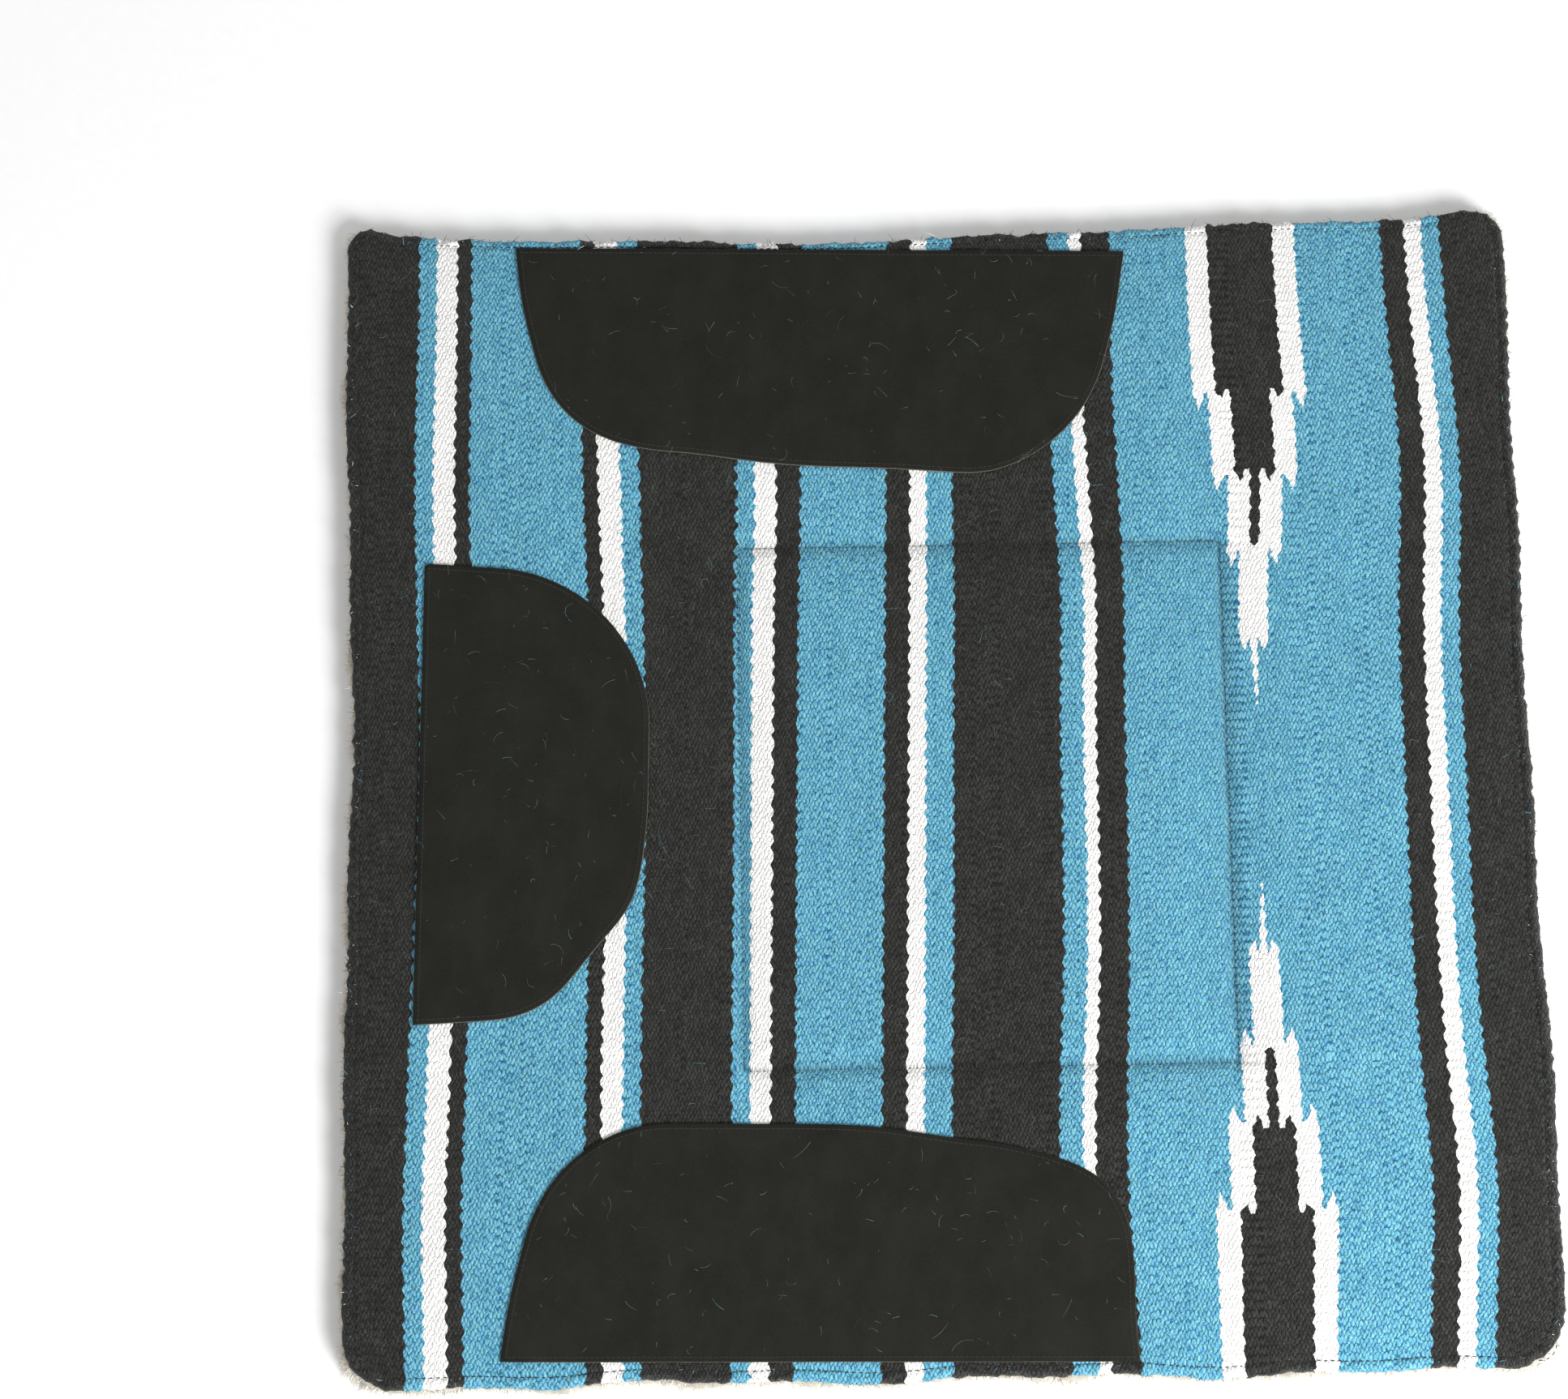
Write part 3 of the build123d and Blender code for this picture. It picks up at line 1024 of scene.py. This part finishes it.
fleece_flat = read_flat(mesh)
peep_x, peep_y = peeping(points[:, 0], points[:, 1])
points[:, 0] += peep_x
points[:, 1] += peep_y
drift(points)
points[:, 2] = np.clip(points[:, 2], fleece_low.z, PILE_TOP + 1 * MM)
write_points(mesh, points)
lay_uv(mesh, fleece_flat[:, 0] / (2 * half_x) + 0.5, fleece_flat[:, 1] / (2 * half_y) + 0.5)
print("fleece:", len(mesh.polygons), "faces, lowest", round(points[:, 2].min() / MM, 2), "mm")

# %% [markdown]
# ## Loose locks round the rim
# At the rim the pile is seen against the light, where a bumpy sheet would look like plaster. Here real
# locks are worth their faces: short tapering strands that grow out of the side and droop. A curve object
# with a bevel makes all of them at once, because each strand is only a handful of points with a radius.

# %% Strands
def strands(name, lines, thickness, sides=0):
    """A mesh of tapering strands. Each line is a list of (place, radius share)."""
    curve = bpy.data.curves.new(name, "CURVE")
    curve.dimensions = "3D"
    curve.bevel_depth = thickness
    curve.bevel_resolution = sides
    curve.use_fill_caps = True
    for line in lines:
        spline = curve.splines.new("POLY")
        spline.points.add(len(line) - 1)
        for point, (place, share) in zip(spline.points, line):
            point.co = (*place, 1)
            point.radius = share
    holder = bpy.data.objects.new(name, curve)
    scene.collection.objects.link(holder)
    graph = bpy.context.evaluated_depsgraph_get()
    mesh = bpy.data.meshes.new_from_object(holder.evaluated_get(graph))
    bpy.data.objects.remove(holder)
    bpy.data.curves.remove(curve)
    mesh.name = name
    piece = bpy.data.objects.new(name, mesh)
    scene.collection.objects.link(piece)
    for polygon in mesh.polygons:
        polygon.use_smooth = True
    return piece


def give_shade(mesh, count, values):
    """A number for each strand, held by all of its points."""
    share = len(mesh.vertices) // count
    layer = mesh.attributes.new("shade", "FLOAT", "POINT")
    spread = np.repeat(values, share)
    layer.data.foreach_set("value", np.resize(spread, len(mesh.vertices)).astype(np.float32))


def rim_place(t, inset):
    """A point at a share t round the rounded square, inset from its edge, and the outward direction."""
    size_x, size_y = half_x - inset, half_y - inset
    side, along = int(t * 4) % 4, (t * 4) % 1 * 2 - 1
    x, y = [(1, along), (-along, 1), (-1, -along), (along, -1)][side]
    x, y = x * size_x, y * size_y
    outward = [Vector((1, 0, 0)), Vector((0, 1, 0)), Vector((-1, 0, 0)), Vector((0, -1, 0))][side]
    x, y = round_corner(x, y, size_x, size_y)
    if abs(x) > half_x - 0.03 and abs(y) > half_y - 0.03:
        outward = Vector((x, y, 0)).normalized()
    return Vector((x, y, 0)), outward


LOCKS = 7000
lines = []
for _ in range(LOCKS):
    place, outward = rim_place(rng.uniform(), rng.uniform(0.5, 3.5) * MM)
    height = fleece_low.z + rng.uniform(2.2, 8.4) * MM
    sideways = Vector((-outward.y, outward.x, 0)) * rng.normal(0, 0.45)
    lean = (outward + sideways + Vector((0, 0, rng.normal(-0.3, 0.35)))).normalized()
    peep_x, peep_y = peeping(np.array([place.x]), np.array([place.y]))
    drift_x, drift_y = edge_drift(np.array([place.x]), np.array([place.y]))
    place += Vector((peep_x[0] + drift_x[0], peep_y[0] + drift_y[0], height))
    reach = rng.uniform(2.5, 5.5) * MM
    curl = Vector((rng.normal(0, 0.6), rng.normal(0, 0.6), -rng.uniform(0.2, 1.0))) * reach * 0.35
    line = []
    for step, share in enumerate((1.0, 0.85, 0.55, 0.15)):
        s = step / 3
        spot = place + lean * reach * s + curl * s * s
        spot.z = max(spot.z, fleece_low.z + 0.6 * MM)
        line.append((spot, share))
    lines.append(line)
fleece_locks = strands("fleece_locks", lines, 0.42 * MM)
give_shade(fleece_locks.data, LOCKS, rng.uniform(0, 1, LOCKS))
print("locks:", len(fleece_locks.data.polygons), "faces")

# %% [markdown]
# ## Loose ends of yarn
# The hem of a used blanket is ragged: ends of wool stand out of every loop that is turned round the edge.
# They are strands too. Each grows out of one point of the hem and takes that point's place in the stripe
# plan, so it is dyed like the yarn it comes from.

# %% Loose yarn
YARN_ENDS = 6000
lines, roots = [], rng.choice(hem_points, YARN_ENDS)
for root in roots:
    place, normal = Vector(rim_points[root]), Vector(rim_normals[root])
    aim = (normal + Vector(rng.normal(0, 0.7, 3))).normalized()
    curl = Vector(rng.normal(0, 1.0, 3))
    reach = rng.gamma(2.5, 0.5) * MM
    start = place - normal * 0.3 * MM
    line = []
    for step, share in enumerate((1.0, 0.9, 0.7, 0.3)):
        s = step / 3
        line.append((start + (aim * s + curl * s * s * 0.6) * reach, share))
    lines.append(line)
loose_yarn = strands("loose_yarn", lines, 0.17 * MM)
share = len(loose_yarn.data.vertices) // YARN_ENDS
lay_uv(loose_yarn.data, np.repeat(cloth_u[roots], share), np.repeat(cloth_v[roots], share))
# The loose ends lie far from every seam, so they get none of the painted crease shade.
seam = loose_yarn.data.attributes.new("seam", "FLOAT", "POINT")
seam.data.foreach_set("value", np.full(len(loose_yarn.data.vertices), SEAM_REACH, np.float32))
loose_yarn.data.materials.clear()
loose_yarn.data.materials.append(wool)
print("loose yarn:", YARN_ENDS, "ends,", len(loose_yarn.data.polygons), "faces")

# %% [markdown]
# ## Suede patches
# Three pieces of suede take the wear: one behind each flap of the saddle and one at the withers. Their
# outlines are read from the CAD nodes as convex hulls. A square grid is then stretched, direction by
# direction, until its border lies on the outline. That keeps the two sharp corners of each patch at corners
# of the grid, and leaves no pole in the middle. The sheet lies on the blanket and gets its thickness from a
# Solidify modifier.

# %% Outlines from the frame
def outline(*nodes):
    """The convex outline, seen from above, of the top faces of some CAD nodes."""
    found = []
    for name in nodes:
        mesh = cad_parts[name].data
        highest = max(v.co.z for v in mesh.vertices)
        found += [v.co.to_2d() for v in mesh.vertices if v.co.z > highest - 0.1 * MM]
    hull = geometry.convex_hull_2d(found)
    return [found[i] for i in hull]


def walk(corners, pitch):
    """Points and directions at an even pitch along a closed outline."""
    made, spare = [], 0
    for i, start in enumerate(corners):
        end = corners[(i + 1) % len(corners)]
        length = (end - start).length
        if length < 1e-9:
            continue
        direction = (end - start) / length
        at = spare
        while at < length:
            made.append((start + direction * at, direction))
            at += pitch
        spare = at - length
    return made


def distance_inside(corners, x, y):
    """Distance from each point to the nearest side of a convex outline."""
    nearest = np.full_like(x, 1e9)
    for i, start in enumerate(corners):
        side = corners[(i + 1) % len(corners)] - start
        if side.length < 1e-6:
            continue
        nearest = np.minimum(nearest, np.abs((x - start.x) * side.y - (y - start.y) * side.x) / side.length)
    return nearest


def radius_towards(corners, centre, angle):
    """How far the outline is from the centre in one direction."""
    aim = Vector((math.cos(angle), math.sin(angle)))
    best = 0
    for i, start in enumerate(corners):
        a, b = start - centre, corners[(i + 1) % len(corners)] - centre
        across = b - a
        bottom = aim.x * across.y - aim.y * across.x
        if abs(bottom) < 1e-12:
            continue
        reach = (a.x * across.y - a.y * across.x) / bottom
        share = (a.x * aim.y - a.y * aim.x) / bottom
        if reach > 0 and -1e-6 <= share <= 1 + 1e-6:
            best = max(best, reach)
    return best


HAND_CUT = {  # where the knife left the pattern: (place, push, width), in millimetres
    "side_patch_off_suede": [
        ((-178, 216), (0, 10), 65), ((-262, 325), (-4, 0), 45),
        ((122, 310), (3, 0), 40), ((30, 210), (0, -3), 45),
    ],
    "side_patch_near_suede": [
        ((108, -295), (11, 0), 48), ((88, -255), (6, 2), 30),
        ((30, -222), (0, -11), 60), ((-272, -325), (-3, 0), 45),
    ],
    "wither_patch_suede": [((-214, -112), (-9, 8), 42), ((-188, -60), (-3, 0), 30)],
}


def hand_cut(name, x, y):
    """The same place on the real, hand-cut patch."""
    to_x, to_y = x, y
    for place, push, width in HAND_CUT[name]:
        near = np.exp(-((x - place[0] * MM) ** 2 + (y - place[1] * MM) ** 2) / (width * MM) ** 2)
        to_x, to_y = to_x + push[0] * MM * near, to_y + push[1] * MM * near
    return to_x, to_y


print("off patch outline:", len(outline("side_patch_off")), "corners")

# %% [markdown]
# ## Sheets of suede
# Each sheet lies on the blanket's real surface, found by height, and is pressed into a small valley along
# its own stitching. A Solidify modifier gives it the thickness of the leather and a cut edge.

# %% Patch sheets
SUEDE = 1.3 * MM
SUEDE_GAP = 0.25 * MM
STITCH_INSET = 3 * MM
PATCH_CELL = 3.2 * MM


def patch(name, nodes):
    """One suede patch in the place of its CAD nodes."""
    corners = outline(*nodes)
    xs, ys = [c.x for c in corners], [c.y for c in corners]
    middle = Vector(((min(xs) + max(xs)) / 2, (min(ys) + max(ys)) / 2))
    reach_x, reach_y = (max(xs) - min(xs)) / 2, (max(ys) - min(ys)) / 2
    bm = bmesh.new()
    columns, rows = (int(2 * reach / PATCH_CELL) for reach in (reach_x, reach_y))
    bmesh.ops.create_grid(bm, x_segments=columns, y_segments=rows, size=1)
    known = {}
    for v in bm.verts:
        spread = max(abs(v.co.x), abs(v.co.y))
        if spread < 1e-6:
            v.co = (middle.x, middle.y, 0)
            continue
        angle = math.atan2(v.co.y * reach_y, v.co.x * reach_x)
        key = round(angle, 6)
        if key not in known:
            known[key] = radius_towards(corners, middle, angle)
        away = (math.cos(angle) * known[key] * spread, math.sin(angle) * known[key] * spread)
        v.co = (middle.x + away[0], middle.y + away[1], 0)
    piece = new_piece(bm, name)
    points = read_points(piece.data)
    inside = distance_inside(corners, points[:, 0], points[:, 1])
    points[:, 0], points[:, 1] = hand_cut(name, points[:, 0].copy(), points[:, 1].copy())
    flow = waves(points[:, 0], points[:, 1], 0.07, 0.25 * MM, 21)
    for point, depth, wave in zip(points, inside, flow):
        valley = 0.45 * MM * math.exp(-(((depth - STITCH_INSET) / (1.1 * MM)) ** 2))
        lift = 0.25 * MM * math.exp(-depth / (2 * MM)) + max(wave, -0.2 * MM)
        point[2] = top_at(point[0], point[1]) + SUEDE_GAP + SUEDE + lift - valley
    write_points(piece.data, points)
    lay_uv(piece.data, points[:, 0] / (2 * half_x) + 0.5, points[:, 1] / (2 * half_y) + 0.5)
    for polygon in piece.data.polygons:
        if polygon.normal.z < 0:
            polygon.flip()
    piece.data.materials.append(None)
    piece.data.materials.append(None)
    wall = piece.modifiers.new("Suede thickness", "SOLIDIFY")
    wall.thickness = SUEDE
    wall.offset = -1
    wall.material_offset_rim = 1
    apply_modifiers(piece)
    return piece, corners


patches, patch_corners = {}, {}
for name, nodes in (
    ("side_patch_off_suede", ["side_patch_off"]),
    ("side_patch_near_suede", ["side_patch_near"]),
    ("wither_patch_suede", ["wither_patch_near", "wither_patch_off"]),
):
    patches[name], patch_corners[name] = patch(name, nodes)
    print(name, len(patches[name].data.polygons), "faces")

# %% [markdown]
# ## Stitching
# Each run of thread is its own piece, as it is on the bench: the hem, the quilting, and one run round each
# patch. A stitch is a small ellipsoid laid on the surface along its path, half sunk, because thread pulls
# itself in. There are nearly two thousand stitches, so each has only a few dozen faces.

# %% Stitches
STITCH_HALF = Vector((0.42 * MM, 0.34 * MM, 1.45 * MM))
BATCH = 30


def heights_over(piece_names):
    """Finds the top of some finished pieces, for laying things on them."""
    graph = bpy.context.evaluated_depsgraph_get()
    trees = [BVHTree.FromObject(bpy.data.objects[name], graph) for name in piece_names]

    def height(x, y):
        hits = [tree.ray_cast(Vector((x, y, 0.2)), Vector((0, 0, -1)))[0] for tree in trees]
        return max((hit.z for hit in hits if hit), default=SEWN_HEIGHT)

    return height


over_everything = heights_over(["woven_top", *patches])


def stitches(name, path, sunk, drifting=False, suede=None):
    """A row of stitches along (place, direction) pairs, each seen from above."""
    whole = bmesh.new()
    for start in range(0, len(path), BATCH):
        bm = bmesh.new()
        bm.loops.layers.uv.new("cloth")
        for place, direction in path[start : start + BATCH]:
            x, y = place
            if drifting:
                drift_x, drift_y = edge_drift(np.array([x]), np.array([y]))
                x, y = x + drift_x[0], y + drift_y[0]
            if suede:
                x, y = hand_cut(suede, x, y)
            ahead = Vector((x, y)) + direction * 1.2 * MM
            behind = Vector((x, y)) - direction * 1.2 * MM
            slope = over_everything(*ahead) - over_everything(*behind)
            aim = Vector((direction.x, direction.y, slope / (2.4 * MM))).normalized()
            turn = aim.to_track_quat("Z", "Y").to_matrix().to_4x4()
            size = Matrix.Diagonal((*STITCH_HALF, 1))
            spot = Matrix.Translation((x, y, over_everything(x, y) - sunk)) @ turn @ size
            bmesh.ops.create_uvsphere(bm, u_segments=6, v_segments=5, radius=1, matrix=spot, calc_uvs=True)
        batch = bpy.data.meshes.new("batch")
        bm.to_mesh(batch)
        bm.free()
        whole.from_mesh(batch)
        bpy.data.meshes.remove(batch)
    return new_piece(whole, name)


PATCH_PITCH = 3.2 * MM
HEM_PITCH = 4.4 * MM
hem_path = walk(outline("hem_thread_near", "hem_thread_off"), HEM_PITCH)
quilt_path = walk(outline("quilting_thread_near", "quilting_thread_off"), HEM_PITCH)
wither_path = walk(outline("wither_thread_near", "wither_thread_off"), PATCH_PITCH)
hem_stitching = stitches("hem_stitching", hem_path, 0.05 * MM, drifting=True)
quilting_stitching = stitches("quilting_stitching", quilt_path, 0.2 * MM)
wither_stitching = stitches("wither_stitching", wither_path, 0.05 * MM, suede="wither_patch_suede")
side_stitching = {}
for side in ("near", "off"):
    path = walk(outline(f"side_thread_{side}"), PATCH_PITCH)
    suede_name = f"side_patch_{side}_suede"
    side_stitching[side] = stitches(f"side_stitching_{side}", path, 0.05 * MM, suede=suede_name)
print("stitches:", len(hem_path), "hem,", len(quilt_path), "quilting,", len(wither_path), "wither patch")

# %% [markdown]
# ## Lint and loose fibres
# Wool sheds, and suede keeps what lands on it. Fine pale hairs lie on the dark places, and short white and
# blue ends stand out of the blanket. They are the same kind of strand as the fleece locks, only far
# thinner.

# %% Lint
HAIRS = 1500
HAIR_POINTS = 5


def hair(place, length, lift):
    """A curved fibre lying on the pad."""
    heading = rng.uniform(0, 2 * math.pi)
    bend = rng.normal(0, 1.4)
    line, spot = [], Vector(place)
    for step in range(HAIR_POINTS):
        s = step / (HAIR_POINTS - 1)
        height = over_everything(spot.x, spot.y) + (0.10 + lift * math.sin(math.pi * s)) * MM
        line.append((Vector((spot.x, spot.y, height)), 1.0 - 0.6 * s))
        heading += bend / HAIR_POINTS
        spot = spot + Vector((math.cos(heading), math.sin(heading))) * length / (HAIR_POINTS - 1)
    return line


lines, shades = [], []
span = Vector((half_x - 12 * MM, half_y - 16 * MM))
for _ in range(HAIRS):
    place = (rng.uniform(-span.x, span.x), rng.uniform(-span.y, span.y))
    lines.append(hair(place, rng.gamma(3.0, 1.7) * MM, rng.uniform(0.1, 0.8)))
    shades.append(rng.uniform())
lint = strands("lint", lines, 0.06 * MM)
give_shade(lint.data, HAIRS, np.array(shades))
print("lint:", HAIRS, "hairs,", len(lint.data.polygons), "faces")

# %% [markdown]
# ## The other finishes
# Fleece, felt and suede share one effect, loose fuzz: fine noise drawn out along the fibre, given
# as one mask. Each material places that group with its own scale. Everything reads the cloth UV map or an
# attribute, so nothing slides when the pad folds.

# %% Node group: fibre fuzz
fibre_fuzz, w, given, wanted = start_group(
    "fibre fuzz", {"Place": "vector", "Fineness": "value"}, {"Fuzz": "value", "Clumps": "value"}
)
resized = {0: given["Place"], "Scale": given["Fineness"]}
scaled = w.node("ShaderNodeVectorMath", resized, operation="SCALE").outputs[0]
bent = w.node("ShaderNodeTexNoise", {"Vector": scaled, "Scale": 0.3, "Detail": 2.0}).outputs[1]
warp = w.node("ShaderNodeVectorMath", {0: bent, 1: (5.0, 5.0, 5.0)}, operation="MULTIPLY").outputs[0]
warped = w.node("ShaderNodeVectorMath", {0: scaled, 1: warp}, operation="ADD").outputs[0]
w.feed(wanted["Fuzz"], w.noise(warped, 1.4, 5.0, 0.72))
w.feed(wanted["Clumps"], w.noise(warped, 0.16, 3.0, 0.6))
print("fibre fuzz:", len(fibre_fuzz.nodes), "nodes")


# %% [markdown]
# ## A finish for each material
# Fleece, felt and suede start from the fuzz group. Thread has a twist of its own, and lint and the loose
# locks take one shade for each strand. All of them are dry fibres, so one helper sets their sheen.

# %% Finishes
def cream_fleece():
    material, w, shader = start_material("cream_fleece")
    fuzz = w.group(fibre_fuzz, Place=cloth_place(w), Fineness=0.9)
    cream = w.mix(w.range(fuzz["Clumps"], 0.3, 0.7), rgb(216, 207, 188), rgb(243, 239, 229))
    cream = w.mix(w.range(fuzz["Fuzz"], 0.62, 0.32, 0.0, 0.5), cream, rgb(190, 178, 152))
    w.feed(shader.inputs["Base Color"], cream)
    w.feed(shader.inputs["Roughness"], w.range(fuzz["Fuzz"], 0.2, 0.8, 0.86, 1.0))
    bumped(w, shader, fuzz["Fuzz"], 1.6 * MM, 0.9)
    matt(shader, 0.35, 0.5, 0.2)
    return material


def cream_locks():
    material, w, shader = start_material("cream_locks")
    shade = w.node("ShaderNodeAttribute", attribute_name="shade").outputs["Fac"]
    w.feed(shader.inputs["Base Color"], w.mix(shade, rgb(221, 212, 194), rgb(247, 244, 236)))
    w.feed(shader.inputs["Roughness"], w.range(shade, 0.0, 1.0, 0.86, 0.98))
    matt(shader, 0.35, 0.5, 0.2)
    return material


def grey_felt():
    material, w, shader = start_material("grey_felt")
    fuzz = w.group(fibre_fuzz, Place=cloth_place(w), Fineness=1.6)
    grey = w.mix(w.range(fuzz["Fuzz"], 0.3, 0.7), rgb(104, 101, 98), rgb(158, 154, 148))
    colour = w.mix(w.range(fuzz["Clumps"], 0.6, 0.75, 0.0, 0.5), grey, rgb(70, 78, 96))
    w.feed(shader.inputs["Base Color"], colour)
    w.feed(shader.inputs["Roughness"], w.range(fuzz["Fuzz"], 0.2, 0.8, 0.85, 0.98))
    bumped(w, shader, fuzz["Fuzz"], 0.5 * MM)
    matt(shader, 0.1, 0.5, 0.2)
    return material


def black_suede():
    material, w, shader = start_material("black_suede")
    place = cloth_place(w)
    fuzz = w.group(fibre_fuzz, Place=place, Fineness=2.2)
    nap = w.noise(w.stretch(place, (26.0, 34.0, 1)), 1.0, 4.0, 0.6)
    dark = w.mix(w.range(nap, 0.3, 0.7), rgb(22, 22, 17), rgb(27, 27, 22))
    dark = w.mix(w.range(fuzz["Fuzz"], 0.46, 0.75, 0.0, 0.7), dark, rgb(56, 56, 49))
    specks = w.noise(place, 0.95, 2.0, 0.8)
    dark = w.mix(w.range(specks, 0.735, 0.80, 0.0, 0.7), dark, rgb(120, 118, 106))
    w.feed(shader.inputs["Base Color"], dark)
    w.feed(shader.inputs["Roughness"], w.range(nap, 0.3, 0.7, 0.94, 0.84))
    bumped(w, shader, w.add(fuzz["Fuzz"], w.times(nap, 0.6)), 0.45 * MM, 0.7)
    matt(shader, 0.08, 0.45, 0.18)
    return material


def cut_suede_edge():
    material, w, shader = start_material("cut_suede_edge")
    fuzz = w.group(fibre_fuzz, Place=cloth_place(w), Fineness=3.0)
    colour = w.mix(w.range(fuzz["Fuzz"], 0.3, 0.7), rgb(58, 53, 46), rgb(132, 124, 110))
    w.feed(shader.inputs["Base Color"], colour)
    w.feed(shader.inputs["Roughness"], w.range(fuzz["Fuzz"], 0.2, 0.8, 0.85, 0.97))
    bumped(w, shader, fuzz["Fuzz"], 0.3 * MM)
    matt(shader, 0.05, 0.5, 0.2)
    return material


def black_thread():
    material, w, shader = start_material("black_thread")
    uv = w.split(w.node("ShaderNodeUVMap", uv_map="cloth").outputs[0])
    turn = w.add(w.times(uv[0], 2 * math.pi), w.times(uv[1], 15.0))
    ply = w.range(w.math("SINE", w.times(turn, 2.0)), -1.0, 1.0)
    w.feed(shader.inputs["Base Color"], w.mix(ply, rgb(16, 15, 15), rgb(52, 50, 48)))
    w.feed(shader.inputs["Roughness"], w.range(ply, 0.0, 1.0, 0.8, 0.5))
    bumped(w, shader, ply, 0.2 * MM)
    matt(shader, 0.05, 0.5, 0.35)
    return material


def pale_lint():
    material, w, shader = start_material("pale_lint")
    shade = w.node("ShaderNodeAttribute", attribute_name="shade").outputs["Fac"]
    colour = w.mix(w.range(shade, 0.0, 0.6), rgb(58, 58, 56), rgb(150, 150, 145))
    colour = w.mix(w.range(shade, 0.82, 0.84), colour, rgb(120, 196, 218))
    w.feed(shader.inputs["Base Color"], colour)
    w.feed(shader.inputs["Roughness"], w.range(shade, 0.0, 1.0, 0.6, 0.85))
    matt(shader, 0.1, 0.5, 0.3)
    return material


fleece_finish, locks_finish, felt_finish = cream_fleece(), cream_locks(), grey_felt()
suede_finish, edge_finish = black_suede(), cut_suede_edge()
thread_finish, lint_finish = black_thread(), pale_lint()
print("finishes:", len(bpy.data.materials))


# %% [markdown]
# ## Dressing the pieces
# Each piece now gets its finish. The suede keeps two, one for its face and one for its cut edge, so the
# face numbers are put back after the materials are changed.

# %% Dress the pieces
def dress(piece, *finishes):
    piece.data.materials.clear()
    for finish in finishes:
        piece.data.materials.append(finish)


dress(fleece, fleece_finish)
dress(fleece_locks, locks_finish)
dress(felt_core, felt_finish)
dress(lint, lint_finish)
for piece in patches.values():
    rims = [polygon.material_index for polygon in piece.data.polygons]
    dress(piece, suede_finish, edge_finish)
    piece.data.polygons.foreach_set("material_index", rims)
for piece in (hem_stitching, quilting_stitching, wither_stitching, *side_stitching.values()):
    dress(piece, thread_finish)
print("dressed")

# %% [markdown]
# ## What moves with what
# The pad folds along its spine, on a hinge that stands above it. The suede and stitching of each side are
# attached to their own half. The pieces that cross the fold keep their place in world space, and the CAD
# nodes that each piece replaces are hidden.


def stand_for(piece, slot, *nodes):
    if nodes:
        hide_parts(*nodes)


def both(layer):
    return [f"{layer}_near", f"{layer}_off"]


for piece in (
    woven_top, felt_core, fleece, fleece_locks, patches["wither_patch_suede"],
    hem_stitching, quilting_stitching, wither_stitching, lint, loose_yarn,
):
    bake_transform(piece)
for side in ("near", "off"):
    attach(patches[f"side_patch_{side}_suede"], f"{side}_half")
    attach(side_stitching[side], f"{side}_half")
    stand_for(patches[f"side_patch_{side}_suede"], "suede", f"side_patch_{side}")
    stand_for(side_stitching[side], "thread", f"side_thread_{side}")

stand_for(woven_top, "woven_wool", *both("woven_cover"))
stand_for(felt_core, "felt", *both("felt_core"))
stand_for(fleece, "fleece", *both("fleece_lining"))
stand_for(fleece_locks, "fleece")
stand_for(lint, "fleece")
stand_for(loose_yarn, "woven_wool")
stand_for(patches["wither_patch_suede"], "suede", *both("wither_patch"))
stand_for(hem_stitching, "thread", *both("hem_thread"))
stand_for(quilting_stitching, "thread", *both("quilting_thread"))
stand_for(wither_stitching, "thread", *both("wither_thread"))
print("pieces in place")



# %% [markdown]
# ## Floor and light
# A large near-white floor, a bright even sky and two lamps: the look of a pack shot. The main lamp stands
# off the near tail corner, so each stitched valley is dark on the side that turns away from it, and a small
# low one close to that corner brightens it.

# %% Studio
FLOOR_SIZE = 6.0
SKY_STRENGTH = 0.57


def studio_floor():
    bm = bmesh.new()
    bmesh.ops.create_grid(bm, x_segments=1, y_segments=1, size=FLOOR_SIZE / 2)
    floor = new_piece(bm, "floor")
    material, w, shader = start_material("studio_floor")
    place = w.node("ShaderNodeTexCoord").outputs["Object"]
    grain = w.noise(place, 140.0, 3.0)
    w.feed(shader.inputs["Base Color"], w.mix(grain, rgb(247, 247, 247), rgb(252, 252, 252)))
    w.feed(shader.inputs["Roughness"], w.range(grain, 0.0, 1.0, 0.7, 0.8))
    dress(floor, material)
    return floor


def soft_lamp(name, place, size, power):
    lamp_data = bpy.data.lights.new(name, "AREA")
    lamp_data.shape = "SQUARE"
    lamp_data.size = size
    lamp_data.energy = power
    lamp = bpy.data.objects.new(name, lamp_data)
    lamp.location = place
    lamp.rotation_euler = (-Vector(place)).to_track_quat("-Z", "Y").to_euler()
    lamp.visible_camera = False
    scene.collection.objects.link(lamp)


studio_floor()
world = bpy.data.worlds.new("bright_sky")
world.use_nodes = True
world.node_tree.nodes["Background"].inputs["Color"].default_value = (1, 1, 1, 1)
world.node_tree.nodes["Background"].inputs["Strength"].default_value = SKY_STRENGTH
scene.world = world
soft_lamp("main_lamp", (1.9, -2.2, 2.4), 1.5, 162)
soft_lamp("corner_lamp", (0.6, -0.6, 0.36), 0.2, 1.1)
scene.view_settings.view_transform = "Standard"
print("studio ready")
